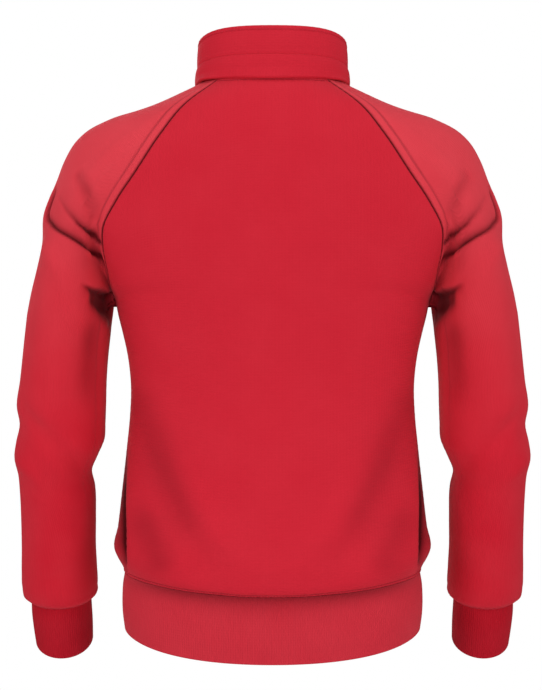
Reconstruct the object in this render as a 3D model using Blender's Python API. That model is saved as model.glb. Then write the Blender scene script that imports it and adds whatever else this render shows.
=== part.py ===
"""A raglan sports sweatshirt with a stand collar, filled out as it hangs when worn.

The front faces -Y and the wearer's left is +X. The origin lies between the two neck points, where
the garment rests on its wearer. Every piece of cloth is a wall of its own: an outer surface lofted
through sections, and an inner surface one thickness of cloth behind it.
"""

from collections import namedtuple

import bmesh
import bpy
import numpy as np

# Thickness of the cloth, and the gap that is left where two pieces are sewn together.
BODY_CLOTH = 0.0020
RIB_CLOTH = 0.0026
COLLAR_CLOTH = 0.0030
SEAM_GAP = 0.0003

# Neckline: a rounded square seen from above, low at the front.
NECK_HALF_WIDTH = 0.0855
NECK_BACK = 0.0755
NECK_FRONT = 0.0820
NECK_HEIGHT = -0.0030
NECK_FRONT_DROP = 0.0500
NECK_DROP_START = 0.42
ROUNDING = 2.3

# Where the two raglan seams meet the neckline, from 0 at the centre back to 1 at the centre front.
BACK_SEAM_TURN = 0.235
FRONT_SEAM_TURN = 0.690

# The rims of two pieces that meet are split along the same diagonals, chosen by this ranking.
RIM_ORDER = np.array([1.0, -0.6, 0.3])

# Number of steps along each seam and round each piece.
RAGLAN_STEPS = 10
NECK_STEPS = 6
PANEL_STEPS = 20
CAP_STEPS = 18

# Slopes at which the sleeve leaves the middle of its neckline, the tops of the raglan seams and the
# underarm, the number of chord lengths that set the curve of its cap, and the rings from the
# neckline within which its crown takes on one even curve from front to back.
SHOULDER_SLOPE = np.radians(24.0)
SEAM_TOP_SLOPE = np.radians(34.0)
UNDERARM_SLOPE = np.radians(15.0)
CAP_FULLNESS = 1.35
CROWN_RINGS = 5

# The arm's direction is read over this length, seams are drawn with this many points before they
# are divided evenly, and seam points of two pieces closer than this are one point.
DIRECTION_LENGTH = 0.010
SEAM_DRAWING = 400
SAME_POINT = 0.00001

# Side seam, from the hem seam up to the underarm.
SideRow = namedtuple("SideRow", "height half_width")
SIDE = (
    SideRow(-0.558, 0.1690),
    SideRow(-0.549, 0.1770),
    SideRow(-0.534, 0.1810),
    SideRow(-0.505, 0.1775),
    SideRow(-0.465, 0.1725),
    SideRow(-0.425, 0.1680),
    SideRow(-0.380, 0.1635),
    SideRow(-0.340, 0.1625),
    SideRow(-0.310, 0.1660),
    SideRow(-0.285, 0.1715),
    SideRow(-0.265, 0.1765),
    SideRow(-0.247, 0.1800),
)

# Raglan seams of the left side, from the underarm up to just below the neckline.
SeamRow = namedtuple("SeamRow", "height across depth")
BACK_RAGLAN = (
    SeamRow(-0.247, 0.1800, 0.000),
    SeamRow(-0.236, 0.1830, 0.022),
    SeamRow(-0.215, 0.1855, 0.046),
    SeamRow(-0.190, 0.1885, 0.066),
    SeamRow(-0.170, 0.1870, 0.079),
    SeamRow(-0.143, 0.1725, 0.090),
    SeamRow(-0.109, 0.1490, 0.097),
    SeamRow(-0.067, 0.1215, 0.095),
    SeamRow(-0.033, 0.0955, 0.083),
)
FRONT_RAGLAN = (
    SeamRow(-0.247, 0.1800, 0.000),
    SeamRow(-0.236, 0.1840, -0.020),
    SeamRow(-0.213, 0.1840, -0.045),
    SeamRow(-0.184, 0.1800, -0.067),
    SeamRow(-0.160, 0.1720, -0.079),
    SeamRow(-0.130, 0.1580, -0.087),
    SeamRow(-0.096, 0.1390, -0.089),
    SeamRow(-0.062, 0.1140, -0.081),
    SeamRow(-0.040, 0.0940, -0.068),
)

# Centre lines of the two panels, each keyed by the height at which its row meets the seam.
MiddleRow = namedtuple("MiddleRow", "edge_height height depth")
BACK_MIDDLE = (
    MiddleRow(-0.558, -0.572, 0.1090),
    MiddleRow(-0.549, -0.567, 0.1165),
    MiddleRow(-0.534, -0.552, 0.1200),
    MiddleRow(-0.505, -0.520, 0.1185),
    MiddleRow(-0.454, -0.464, 0.1140),
    MiddleRow(-0.400, -0.405, 0.1100),
    MiddleRow(-0.340, -0.340, 0.1080),
    MiddleRow(-0.293, -0.288, 0.1110),
    MiddleRow(-0.247, -0.236, 0.1145),
    MiddleRow(-0.184, -0.175, 0.1160),
    MiddleRow(-0.135, -0.128, 0.1140),
    MiddleRow(-0.098, -0.093, 0.1105),
    MiddleRow(-0.054, -0.051, 0.1020),
    MiddleRow(-0.020, -0.019, 0.0890),
)
FRONT_MIDDLE = (
    MiddleRow(-0.558, -0.562, -0.1040),
    MiddleRow(-0.549, -0.556, -0.1110),
    MiddleRow(-0.534, -0.542, -0.1140),
    MiddleRow(-0.505, -0.511, -0.1120),
    MiddleRow(-0.454, -0.458, -0.1080),
    MiddleRow(-0.400, -0.402, -0.1060),
    MiddleRow(-0.340, -0.338, -0.1080),
    MiddleRow(-0.293, -0.290, -0.1130),
    MiddleRow(-0.247, -0.244, -0.1180),
    MiddleRow(-0.184, -0.190, -0.1200),
    MiddleRow(-0.130, -0.147, -0.1160),
    MiddleRow(-0.096, -0.120, -0.1090),
    MiddleRow(-0.062, -0.092, -0.0990),
    MiddleRow(-0.040, -0.072, -0.0900),
)

# Line along the top of the left shoulder, from the collar out and down to the upper arm.
RidgeRow = namedtuple("RidgeRow", "across height")
SHOULDER = (
    RidgeRow(0.1040, -0.0085),
    RidgeRow(0.1250, -0.0175),
    RidgeRow(0.1560, -0.0290),
    RidgeRow(0.1880, -0.0400),
    RidgeRow(0.2140, -0.0520),
    RidgeRow(0.2280, -0.0635),
    RidgeRow(0.2410, -0.0865),
    RidgeRow(0.2495, -0.1100),
    RidgeRow(0.2580, -0.1320),
    RidgeRow(0.2640, -0.1500),
    RidgeRow(0.2650, -0.1850),
    RidgeRow(0.2710, -0.2130),
    RidgeRow(0.2770, -0.2400),
)

# Left arm of the sleeve below the underarm: centre, half sizes and the forward lean in degrees.
ArmRow = namedtuple("ArmRow", "height across depth half_width half_depth lean")
ARM = (
    ArmRow(-0.264, 0.2315, 0.004, 0.0490, 0.0690, 0.0),
    ArmRow(-0.293, 0.2350, 0.006, 0.0485, 0.0660, 1.0),
    ArmRow(-0.339, 0.2390, 0.009, 0.0490, 0.0630, 3.0),
    ArmRow(-0.368, 0.2412, 0.009, 0.0505, 0.0620, 5.0),
    ArmRow(-0.388, 0.2400, 0.008, 0.0485, 0.0600, 7.0),
    ArmRow(-0.408, 0.2430, 0.006, 0.0500, 0.0600, 10.0),
    ArmRow(-0.425, 0.2480, 0.003, 0.0475, 0.0580, 12.0),
    ArmRow(-0.443, 0.2500, -0.002, 0.0420, 0.0550, 15.0),
    ArmRow(-0.465, 0.2480, -0.008, 0.0430, 0.0540, 18.0),
    ArmRow(-0.500, 0.2485, -0.020, 0.0430, 0.0520, 21.0),
    ArmRow(-0.535, 0.2500, -0.033, 0.0430, 0.0500, 21.0),
    ArmRow(-0.562, 0.2510, -0.045, 0.0440, 0.0490, 18.0),
    ArmRow(-0.583, 0.2515, -0.055, 0.0440, 0.0475, 16.0),
    ArmRow(-0.594, 0.2515, -0.061, 0.0415, 0.0445, 14.0),
    ArmRow(-0.598, 0.2510, -0.063, 0.0350, 0.0385, 14.0),
)

# Cuff, hem band and collar, each from the seam outwards.
CUFF = (
    ArmRow(-0.598, 0.2510, -0.063, 0.0350, 0.0385, 14.0),
    ArmRow(-0.611, 0.2510, -0.067, 0.0355, 0.0392, 18.0),
    ArmRow(-0.631, 0.2505, -0.075, 0.0352, 0.0388, 24.0),
    ArmRow(-0.649, 0.2500, -0.083, 0.0340, 0.0375, 29.0),
)
BandRow = namedtuple("BandRow", "along outset")
HEM = (
    BandRow(0.0000, 0.0000),
    BandRow(0.0120, 0.0020),
    BandRow(0.0300, 0.0030),
    BandRow(0.0520, 0.0025),
    BandRow(0.0705, 0.0000),
)
COLLAR_LOWER = (
    BandRow(0.0000, 0.0000),
    BandRow(0.0050, 0.0025),
    BandRow(0.0130, 0.0032),
    BandRow(0.0245, 0.0016),
)
COLLAR_UPPER = (
    BandRow(0.0000, 0.0016),
    BandRow(0.0070, 0.0022),
    BandRow(0.0190, 0.0020),
    BandRow(0.0302, 0.0006),
)
# The lower collar band and the hem band are this much of their back height elsewhere.
COLLAR_SIDE_SHARE = 0.78
HEM_SIDE_SHARE = 0.90

# Main folds, as seen from behind or in front of the left side: a line from one end to the other,
# with positive depth for a trough and negative depth for a ridge.
Fold = namedtuple("Fold", "x0 z0 x1 z1 width depth side")
FOLDS = (
    Fold(0.270, -0.142, 0.186, -0.214, 0.010, 0.0075, 1),
    Fold(0.272, -0.166, 0.200, -0.232, 0.013, -0.0050, 1),
    Fold(0.246, -0.108, 0.196, -0.186, 0.009, 0.0040, 1),
    Fold(0.256, -0.122, 0.210, -0.178, 0.008, -0.0035, 1),
    Fold(0.268, -0.150, 0.188, -0.212, 0.011, 0.0060, -1),
    Fold(0.272, -0.172, 0.202, -0.230, 0.013, -0.0040, -1),
    Fold(0.190, -0.416, 0.246, -0.446, 0.009, 0.0045, 1),
    Fold(0.190, -0.412, 0.262, -0.430, 0.009, 0.0065, -1),
    Fold(0.196, -0.392, 0.270, -0.398, 0.010, -0.0040, -1),
    Fold(0.152, -0.362, 0.100, -0.484, 0.022, 0.0060, 1),
    Fold(0.118, -0.420, 0.026, -0.540, 0.020, -0.0045, 1),
    Fold(0.096, -0.500, 0.060, -0.560, 0.016, 0.0030, 1),
    Fold(0.150, -0.380, 0.090, -0.500, 0.022, 0.0050, -1),
    Fold(0.112, -0.440, 0.030, -0.545, 0.020, -0.0040, -1),
)
FOLD_SIDE_FADE = 0.030

SHELL_RED = (0.545, 0.012, 0.032, 1.0)
RIB_RED = (0.420, 0.008, 0.026, 1.0)
ROUGHNESS = 0.85


def ease(start, leave, end, arrive, t):
    """Cubic curve between two points, from its direction at the first to its direction at the last."""
    return (start * (1 + 2 * t) * (1 - t) ** 2 + end * t * t * (3 - 2 * t)
            + leave * t * (1 - t) ** 2 - arrive * t * t * (1 - t))


def curve(knots, values, places):
    """Smooth curve through values at rising knots, read at the given places."""
    slopes = np.gradient(values, knots, axis=0)
    places = np.clip(places, knots[0], knots[-1])
    index = np.clip(np.searchsorted(knots, places) - 1, 0, len(knots) - 2)
    span = (knots[index + 1] - knots[index]).reshape((-1,) + (1,) * (values.ndim - 1))
    t = (places - knots[index]).reshape(span.shape) / span
    return ease(values[index], slopes[index] * span, values[index + 1], slopes[index + 1] * span, t)


def follow(rows, name, places):
    """Value of one column of a table at places along its first column, on a smooth curve."""
    knots = np.array([row[0] for row in rows])
    values = np.array([getattr(row, name) for row in rows])
    order = np.argsort(knots)
    return curve(knots[order], values[order], places)


def smooth_step(t):
    """0 below 0, 1 above 1 and a soft S between."""
    t = np.clip(t, 0.0, 1.0)
    return t * t * (3 - 2 * t)


def unit(vectors):
    """Vectors of an array, each made one long."""
    return vectors / np.maximum(np.linalg.norm(vectors, axis=-1, keepdims=True), 1e-12)


def even_spacing(curve, steps):
    """Points that divide a finely drawn curve into steps of equal length."""
    lengths = np.linalg.norm(np.diff(curve, axis=0), axis=1)
    travelled = np.concatenate(([0.0], np.cumsum(lengths)))
    stops = np.linspace(0.0, travelled[-1], steps + 1)
    return np.stack([np.interp(stops, travelled, curve[:, axis]) for axis in range(3)], axis=1)


def neckline(turn):
    """Left half of the neckline, from 0 at the centre back to 1 at the centre front."""
    angle = np.pi * np.asarray(turn)
    power = 2.0 / ROUNDING
    depth = np.where(np.cos(angle) > 0, NECK_BACK, NECK_FRONT)
    across = NECK_HALF_WIDTH * np.sin(angle) ** power
    along = depth * np.sign(np.cos(angle)) * np.abs(np.cos(angle)) ** power
    drop = smooth_step((np.asarray(turn) - NECK_DROP_START) / (1.0 - NECK_DROP_START))
    return np.stack([across, along, NECK_HEIGHT - NECK_FRONT_DROP * drop], axis=-1)


def raglan_seam(rows, neck_turn):
    """Raglan seam from the underarm to the neckline, in even steps."""
    top = neckline(neck_turn)
    rows = rows + (SeamRow(top[2], top[0], top[1]),)
    heights = np.linspace(rows[0].height, rows[-1].height, SEAM_DRAWING)
    curve = np.stack([follow(rows, "across", heights), follow(rows, "depth", heights), heights], axis=1)
    return even_spacing(curve, RAGLAN_STEPS)


def side_seam():
    """Left side seam, from the hem seam to the underarm."""
    heights = np.array([row.height for row in SIDE])
    return np.stack([follow(SIDE, "half_width", heights), 0.0 * heights, heights], axis=1)


def fall_back(share):
    """How far a rounded section has turned back from its middle, at a share of its half width."""
    return 1.0 - (1.0 - np.clip(share, 0.0, 1.0) ** ROUNDING) ** (1.0 / ROUNDING)


def panel(edge, middle_rows, neck_middle, neck_reach):
    """Back or front of the body: a grid of rows from hem to neck, columns from left to right.

    Each row is part of a rounded square. Its edge points lie on the seams. Below the underarm the
    row reaches the section's full half width, and towards the neckline it reaches less of it.
    """
    middle_rows = middle_rows + (MiddleRow(edge[-1, 2], neck_middle[2], neck_middle[1]),)
    middle_height = follow(middle_rows, "height", edge[:, 2])
    middle_depth = follow(middle_rows, "depth", edge[:, 2])
    above = np.clip((edge[:, 2] - SIDE[-1].height) / (edge[-1, 2] - SIDE[-1].height), 0.0, 1.0)
    reach = 1.0 + (neck_reach - 1.0) * smooth_step(above)
    turn = np.linspace(1.0, -1.0, PANEL_STEPS + 1)[None, :]
    angle = np.arcsin(reach)[:, None] * turn
    share = np.abs(np.sin(angle))
    x = edge[:, 0, None] * np.sin(angle) / reach[:, None]
    back = fall_back(share) / fall_back(reach)[:, None]
    y = middle_depth[:, None] + (edge[:, 1] - middle_depth)[:, None] * back
    rise = (share / reach[:, None]) ** 2
    z = middle_height[:, None] + (edge[:, 2] - middle_height)[:, None] * rise
    return np.stack([x, y, z], axis=-1)


def arm_ring(rows, heights, angles):
    """Rings round the arm at the given heights; angle 0 faces the body and a quarter turn the back."""
    width = follow(rows, "half_width", heights)[:, None]
    depth = follow(rows, "half_depth", heights)[:, None]
    lean = np.radians(follow(rows, "lean", heights))[:, None]
    x = follow(rows, "across", heights)[:, None] - width * np.cos(angles)[None, :]
    out = depth * np.sin(angles)[None, :]
    y = follow(rows, "depth", heights)[:, None] + out * np.cos(lean)
    z = heights[:, None] - out * np.sin(lean)
    return np.stack([x, y, z], axis=-1)


def shoulder_line(top):
    """The shoulder's table, read at the same shares of its length as the points of a rough line."""
    line = np.array([(row.across, 0.0, row.height) for row in SHOULDER])
    line = np.concatenate([top[:1], line, top[-1:]])
    line[:, 1] = np.linspace(top[0, 1], top[-1, 1], len(line))
    lengths = [np.concatenate(([0.0], np.cumsum(np.linalg.norm(np.diff(path, axis=0), axis=1))))
               for path in (top, line)]
    stops = lengths[0] / lengths[0][-1] * lengths[1][-1]
    return np.stack([np.interp(stops, lengths[1], line[:, axis]) for axis in range(3)], axis=1)


def crown(cap):
    """Lay the cap's top line on the shoulder line, and curve each ring evenly to either side of it."""
    middle = cap.shape[1] // 2
    half = NECK_STEPS // 2 + 1
    shaped = cap.copy()
    shaped[:, middle] = shoulder_line(cap[:, middle])
    knots = middle + np.array([-half - 2, -half, 0, half, half + 2])
    places = np.arange(middle - half, middle + half + 1)
    shaped[:, places] = np.swapaxes(curve(knots, np.swapaxes(shaped[:, knots], 0, 1), places), 0, 1)
    share = smooth_step(np.arange(len(cap)) / CROWN_RINGS)[:, None, None]
    shaped = cap + (shaped - cap) * share
    shaped[:, middle] = shoulder_line(cap[:, middle])
    return shaped


def sleeve(back_panel, front_panel, underarm_row):
    """Left sleeve: the cap curves from the raglan seams and neckline into the arm's first ring."""
    back = back_panel[underarm_row:, 0]
    front = front_panel[underarm_row:, 0]
    neck = neckline(np.linspace(BACK_SEAM_TURN, FRONT_SEAM_TURN, NECK_STEPS + 1))
    seam = np.concatenate([back, neck[1:-1], front[:0:-1]])

    def outward(slope):
        """Directions that leave the body sideways and fall at the given slopes."""
        return np.stack([np.cos(slope), 0.0 * slope, -np.sin(slope)], axis=1)

    seam_slope = np.linspace(UNDERARM_SLOPE, SEAM_TOP_SLOPE, RAGLAN_STEPS + 1)
    rise = np.sin(np.pi * np.linspace(0.0, 1.0, NECK_STEPS + 1)[1:-1])
    neck_slope = SEAM_TOP_SLOPE + (SHOULDER_SLOPE - SEAM_TOP_SLOPE) * rise

    def leaving(grid):
        """Outward directions of the sleeve, laid into the surface of a panel along its left edge."""
        normal = surface_normals(grid, False)[underarm_row:, 0]
        sideways = outward(seam_slope)
        return unit(sideways - normal * np.sum(sideways * normal, axis=1, keepdims=True))

    start = np.concatenate([leaving(back_panel), outward(neck_slope), leaving(front_panel)[:0:-1]])

    angles = 2 * np.pi * np.arange(len(seam)) / len(seam)
    heights = np.array([row.height for row in ARM])
    first, second = arm_ring(ARM, heights[0] - np.array([0.0, DIRECTION_LENGTH]), angles)
    chord = np.linalg.norm(first - seam, axis=1, keepdims=True)
    leave = start * chord * CAP_FULLNESS
    arrive = unit(second - first) * chord * CAP_FULLNESS
    t = np.linspace(0.0, 1.0, CAP_STEPS + 1)[:-1, None, None]
    cap = crown(np.concatenate([ease(seam, leave, first, arrive, t), first[None]]))
    return np.concatenate([cap[:-1], arm_ring(ARM, heights, angles)])


def ring_outward(ring):
    """Level directions that point out of a closed ring."""
    along = np.roll(ring, -1, axis=0) - np.roll(ring, 1, axis=0)
    out = unit(np.stack([along[:, 1], -along[:, 0], 0.0 * along[:, 0]], axis=1))
    centre = ring.mean(axis=0)
    return out if np.sum(out * (ring - centre)) > 0 else -out


def band(ring, rows, direction, share=1.0):
    """Ribbed or standing band that starts on a ring and goes up (1) or down (-1) from it."""
    out = ring_outward(ring)
    first = rows[0].outset
    steps = []
    for row in rows:
        step = ring + out * (row.outset - first)
        step[:, 2] += direction * row.along * share
        steps.append(step)
    return np.array(steps)


def back_share(ring, elsewhere):
    """1 at the back of a ring, falling to another share at its sides and front."""
    return elsewhere + (1 - elsewhere) * smooth_step(ring[:, 1] / ring[:, 1].max())


def surface_normals(grid, wrap):
    """Outward normals of a grid of points; a wrapped grid closes on itself across its columns."""
    if wrap:
        along = np.roll(grid, -1, axis=1) - np.roll(grid, 1, axis=1)
        centre = grid.mean(axis=1, keepdims=True)
    else:
        along = np.gradient(grid, axis=1)
        centre = np.zeros((1, 1, 3)) + [0.0, 0.0, grid[..., 2].mean()]
    normal = unit(np.cross(np.gradient(grid, axis=0), along))
    return normal if np.sum(normal * (grid - centre)) > 0 else -normal


def share_normals(grids, wraps):
    """Normals of every grid, averaged wherever two pieces have a seam point in common.

    Panels and sleeves are averaged first, and then with the bands, so that a corner where three
    pieces meet leans no further to one side than the seam beside it.
    """
    normals = np.concatenate([surface_normals(grids[name], wraps[name]).reshape(-1, 3) for name in grids])
    points = np.concatenate([grid.reshape(-1, 3) for grid in grids.values()])
    sizes = [grid.shape[0] * grid.shape[1] for grid in grids.values()]
    of_band = np.repeat([not name.startswith(("back", "front", "sleeve")) for name in grids], sizes)
    keys = np.round(points / SAME_POINT).astype(int)
    same = np.unique(keys, axis=0, return_inverse=True)[1].reshape(-1)
    shared = np.zeros((same.max() + 1, 3))
    for group in (of_band, ~of_band):
        total = np.zeros(shared.shape)
        np.add.at(total, same[group], normals[group])
        shared += unit(total)
    parts = np.split(unit(shared)[same], np.cumsum(sizes)[:-1])
    return {name: part.reshape(grids[name].shape) for name, part in zip(grids, parts)}


def fold_depth(points):
    """Depth of the folds at each point: how far the cloth lies behind its smooth form."""
    x, y, z = np.abs(points[..., 0]), points[..., 1], points[..., 2]
    depth = np.zeros(x.shape)
    for fold in FOLDS:
        run = np.array([fold.x1 - fold.x0, fold.z1 - fold.z0])
        length = np.linalg.norm(run)
        along = ((x - fold.x0) * run[0] + (z - fold.z0) * run[1]) / length
        across = ((x - fold.x0) * run[1] - (z - fold.z0) * run[0]) / length
        ends = smooth_step(along / fold.width) * smooth_step((length - along) / fold.width)
        facing = smooth_step(fold.side * y / FOLD_SIDE_FADE)
        depth += fold.depth * np.exp(-(across / fold.width) ** 2) * ends * facing
    return depth


def pull_back(surface, wrap, sides):
    """Move the edges of a surface half a seam gap away from their seams."""
    moved = surface.copy()
    for side in sides:
        rows = surface if side in ("first", "last") else np.swapaxes(surface, 0, 1)
        target = moved if side in ("first", "last") else np.swapaxes(moved, 0, 1)
        edge, inside = (rows[0], rows[1]) if side in ("first", "left") else (rows[-1], rows[-2])
        if wrap:
            tangent = unit(np.roll(edge, -1, axis=0) - np.roll(edge, 1, axis=0))
        else:
            tangent = unit(np.gradient(edge, axis=0))
        inward = inside - edge
        inward = unit(inward - tangent * np.sum(inward * tangent, axis=1, keepdims=True))
        target[0 if side in ("first", "left") else -1] += inward * SEAM_GAP / 2
    return moved


def wall(name, outer, inner, wrap, color, collection):
    """Closed wall of cloth between an outer and an inner surface."""
    rows, columns = outer.shape[:2]
    count = rows * columns
    numbers = np.arange(count).reshape(rows, columns)
    if wrap:
        numbers = np.concatenate([numbers, numbers[:, :1]], axis=1)
    faces = []
    for offset in (0, count):
        quads = np.stack([numbers[:-1, :-1], numbers[1:, :-1], numbers[1:, 1:], numbers[:-1, 1:]], axis=-1)
        faces.append(quads.reshape(-1, 4) + offset)
    borders = [numbers[0], numbers[-1]]
    if not wrap:
        borders += [numbers[:, 0], numbers[:, -1]]
    points = np.concatenate([outer.reshape(-1, 3), inner.reshape(-1, 3)])
    rank = points * np.sign(points[:, :1] * [1, 0, 0] + [0, 1, 1]) @ RIM_ORDER
    for border in borders:
        swap = rank[border[:-1]] < rank[border[1:]]
        high = np.where(swap, border[1:], border[:-1])
        low = np.where(swap, border[:-1], border[1:])
        faces.append(np.stack([high, low, low + count], axis=1))
        faces.append(np.stack([high, low + count, high + count], axis=1))
    mesh = bpy.data.meshes.new(name)
    mesh.from_pydata(points.tolist(), [], [face for group in faces for face in group.tolist()])
    work = bmesh.new()
    work.from_mesh(mesh)
    bmesh.ops.recalc_face_normals(work, faces=work.faces)
    work.to_mesh(mesh)
    work.free()
    mesh.shade_smooth()
    mesh.materials.append(color)
    piece = bpy.data.objects.new(name, mesh)
    collection.objects.link(piece)


def cloth_material(name, color):
    """Matte knitted cloth."""
    material = bpy.data.materials.new(name)
    material.use_nodes = True
    shader = material.node_tree.nodes["Principled BSDF"]
    shader.inputs["Base Color"].default_value = color
    shader.inputs["Roughness"].default_value = ROUGHNESS
    shader.inputs["Metallic"].default_value = 0.0
    return material


def mirrored(grid):
    """The same surface on the wearer's other side."""
    return grid * np.array([-1.0, 1.0, 1.0])


def lay_out():
    """Outer surfaces of all the pieces, each a grid of points that shares its seams with others."""
    side = side_seam()
    underarm_row = len(side) - 1
    back_edge = np.concatenate([side, raglan_seam(BACK_RAGLAN, BACK_SEAM_TURN)[1:]])
    front_edge = np.concatenate([side, raglan_seam(FRONT_RAGLAN, FRONT_SEAM_TURN)[1:]])
    back_reach = back_edge[-1, 0] / NECK_HALF_WIDTH
    front_reach = front_edge[-1, 0] / NECK_HALF_WIDTH
    back = panel(back_edge, BACK_MIDDLE, neckline(0.0), back_reach)
    front = panel(front_edge, FRONT_MIDDLE, neckline(1.0), front_reach)
    left = sleeve(back, front, underarm_row)
    left_neck = left[0, RAGLAN_STEPS + 1:RAGLAN_STEPS + NECK_STEPS]

    neck = np.concatenate([back[-1, ::-1], left_neck, front[-1], mirrored(left_neck)[::-1]])
    lower = band(neck, COLLAR_LOWER, 1, back_share(neck, COLLAR_SIDE_SHARE))
    upper = band(lower[-1], COLLAR_UPPER, 1)
    waist = np.concatenate([back[0], front[0, -2:0:-1]])
    hem = band(waist, HEM, -1, back_share(waist, HEM_SIDE_SHARE))
    angles = 2 * np.pi * np.arange(left.shape[1]) / left.shape[1]
    cuff = arm_ring(CUFF, np.array([row.height for row in CUFF]), angles)
    return {
        "back_panel": back, "front_panel": front,
        "sleeve_left": left, "sleeve_right": mirrored(left),
        "collar_lower": lower, "collar_upper": upper, "hem_band": hem,
        "cuff_left": cuff, "cuff_right": mirrored(cuff),
    }


def build():
    """Make every piece as a closed wall of cloth in the sweatshirt's collection."""
    for old in list(bpy.data.objects):
        bpy.data.objects.remove(old, do_unlink=True)
    collection = bpy.data.collections.new("sweatshirt")
    bpy.context.scene.collection.children.link(collection)
    shell = cloth_material("shell_knit", SHELL_RED)
    rib = cloth_material("fine_rib", RIB_RED)

    grids = lay_out()
    wraps = {name: not name.endswith("panel") for name in grids}
    smooth = share_normals(grids, wraps)
    folded = {name: grids[name] - smooth[name] * fold_depth(grids[name])[..., None] for name in grids}
    normals = share_normals(folded, wraps)
    thickness = {
        "collar_lower": COLLAR_CLOTH, "collar_upper": COLLAR_CLOTH,
        "hem_band": RIB_CLOTH, "cuff_left": RIB_CLOTH, "cuff_right": RIB_CLOTH,
    }
    for name, outer in folded.items():
        inner = outer - normals[name] * thickness.get(name, BODY_CLOTH)
        sides = ("first", "last") if wraps[name] else ("first", "last", "left", "right")
        outer = pull_back(outer, wraps[name], sides)
        inner = pull_back(inner, wraps[name], sides)
        color = rib if name.startswith(("hem", "cuff")) else shell
        wall(name, outer, inner, wraps[name], color, collection)


build()
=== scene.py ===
from collections import namedtuple

import bpy
import numpy as np
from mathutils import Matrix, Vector


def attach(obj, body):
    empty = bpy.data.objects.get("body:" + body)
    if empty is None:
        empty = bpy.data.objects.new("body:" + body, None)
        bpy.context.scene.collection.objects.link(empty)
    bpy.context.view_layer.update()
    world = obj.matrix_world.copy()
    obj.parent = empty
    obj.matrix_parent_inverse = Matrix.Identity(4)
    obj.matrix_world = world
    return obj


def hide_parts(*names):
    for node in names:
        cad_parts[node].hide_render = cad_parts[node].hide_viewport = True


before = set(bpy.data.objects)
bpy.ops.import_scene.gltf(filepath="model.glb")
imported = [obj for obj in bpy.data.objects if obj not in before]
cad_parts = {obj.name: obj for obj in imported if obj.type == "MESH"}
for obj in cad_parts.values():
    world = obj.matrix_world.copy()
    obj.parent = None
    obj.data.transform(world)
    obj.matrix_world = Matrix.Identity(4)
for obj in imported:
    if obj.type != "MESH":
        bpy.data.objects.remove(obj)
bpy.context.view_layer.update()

# ---------------------------------------------------------------------------------------------
# Back and front of the body: two pieces of heavy double knit with a fine honeycomb face, cut with
# slanting armholes. They are sewn together down the sides, filled out, and bloused over the hem.

SideRow = namedtuple("SideRow", "height half_width")
SIDE = [SideRow(*row) for row in (
    (-0.558, 0.1690), (-0.550, 0.1715), (-0.541, 0.1768), (-0.532, 0.1808), (-0.505, 0.1770),
    (-0.465, 0.1725), (-0.425, 0.1680), (-0.380, 0.1635), (-0.340, 0.1625), (-0.310, 0.1660),
    (-0.285, 0.1715), (-0.265, 0.1765), (-0.247, 0.1800),
)]
SeamRow = namedtuple("SeamRow", "height across depth")
BACK_RAGLAN = [SeamRow(*row) for row in (
    (-0.247, 0.1800, 0.000), (-0.236, 0.1830, 0.022), (-0.215, 0.1855, 0.046),
    (-0.190, 0.1885, 0.066), (-0.170, 0.1870, 0.079), (-0.143, 0.1725, 0.090),
    (-0.109, 0.1490, 0.097), (-0.067, 0.1215, 0.095), (-0.033, 0.0955, 0.083),
)]
FRONT_RAGLAN = [SeamRow(*row) for row in (
    (-0.247, 0.1800, 0.000), (-0.236, 0.1840, -0.020), (-0.213, 0.1840, -0.045),
    (-0.184, 0.1800, -0.067), (-0.160, 0.1720, -0.079), (-0.130, 0.1580, -0.087),
    (-0.096, 0.1390, -0.089), (-0.062, 0.1140, -0.081), (-0.040, 0.0940, -0.068),
)]
MiddleRow = namedtuple("MiddleRow", "edge_height height depth")
BACK_MIDDLE = [MiddleRow(*row) for row in (
    (-0.558, -0.572, 0.1090), (-0.549, -0.567, 0.1165), (-0.534, -0.552, 0.1200),
    (-0.505, -0.520, 0.1185), (-0.454, -0.464, 0.1140), (-0.400, -0.405, 0.1100),
    (-0.340, -0.340, 0.1080), (-0.293, -0.288, 0.1110), (-0.247, -0.236, 0.1145),
    (-0.184, -0.175, 0.1160), (-0.135, -0.128, 0.1140), (-0.098, -0.093, 0.1105),
    (-0.054, -0.051, 0.1020), (-0.020, -0.019, 0.0890),
)]
FRONT_MIDDLE = [MiddleRow(*row) for row in (
    (-0.558, -0.562, -0.1040), (-0.549, -0.556, -0.1110), (-0.534, -0.542, -0.1140),
    (-0.505, -0.511, -0.1120), (-0.454, -0.458, -0.1080), (-0.400, -0.402, -0.1060),
    (-0.340, -0.338, -0.1080), (-0.293, -0.290, -0.1130), (-0.247, -0.244, -0.1180),
    (-0.184, -0.190, -0.1200), (-0.130, -0.147, -0.1160), (-0.096, -0.120, -0.1090),
    (-0.062, -0.092, -0.0990), (-0.040, -0.072, -0.0900),
)]
# The neckline is a rounded square as seen from above, which drops at the front. The slanting seams
# meet it at these turns, from 0 at the centre back to 1 at the centre front.
NECK_HALF_WIDTH = 0.0855
NECK_BACK = 0.0755
NECK_FRONT = 0.0820
NECK_HEIGHT = -0.0030
NECK_FRONT_DROP = 0.0500
NECK_DROP_START = 0.42
ROUNDING = 2.3
BACK_SEAM_TURN = 0.235
FRONT_SEAM_TURN = 0.690
SEAM_DRAWING = 600

# Stretches of the ring round the sleeve: the back seam, the neckline and the front seam have these
# lengths in tenths of a seam, and each tenth has so many columns of mesh.
BACK_TENTHS, NECK_TENTHS, FRONT_TENTHS = 10, 6, 10
BACK_COLUMNS, NECK_COLUMNS, FRONT_COLUMNS = 9, 7, 6
SIDE_STEPS = 90
PANEL_STEPS = 100

BODY_CLOTH = 0.0020
TINY = 1e-9


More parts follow.
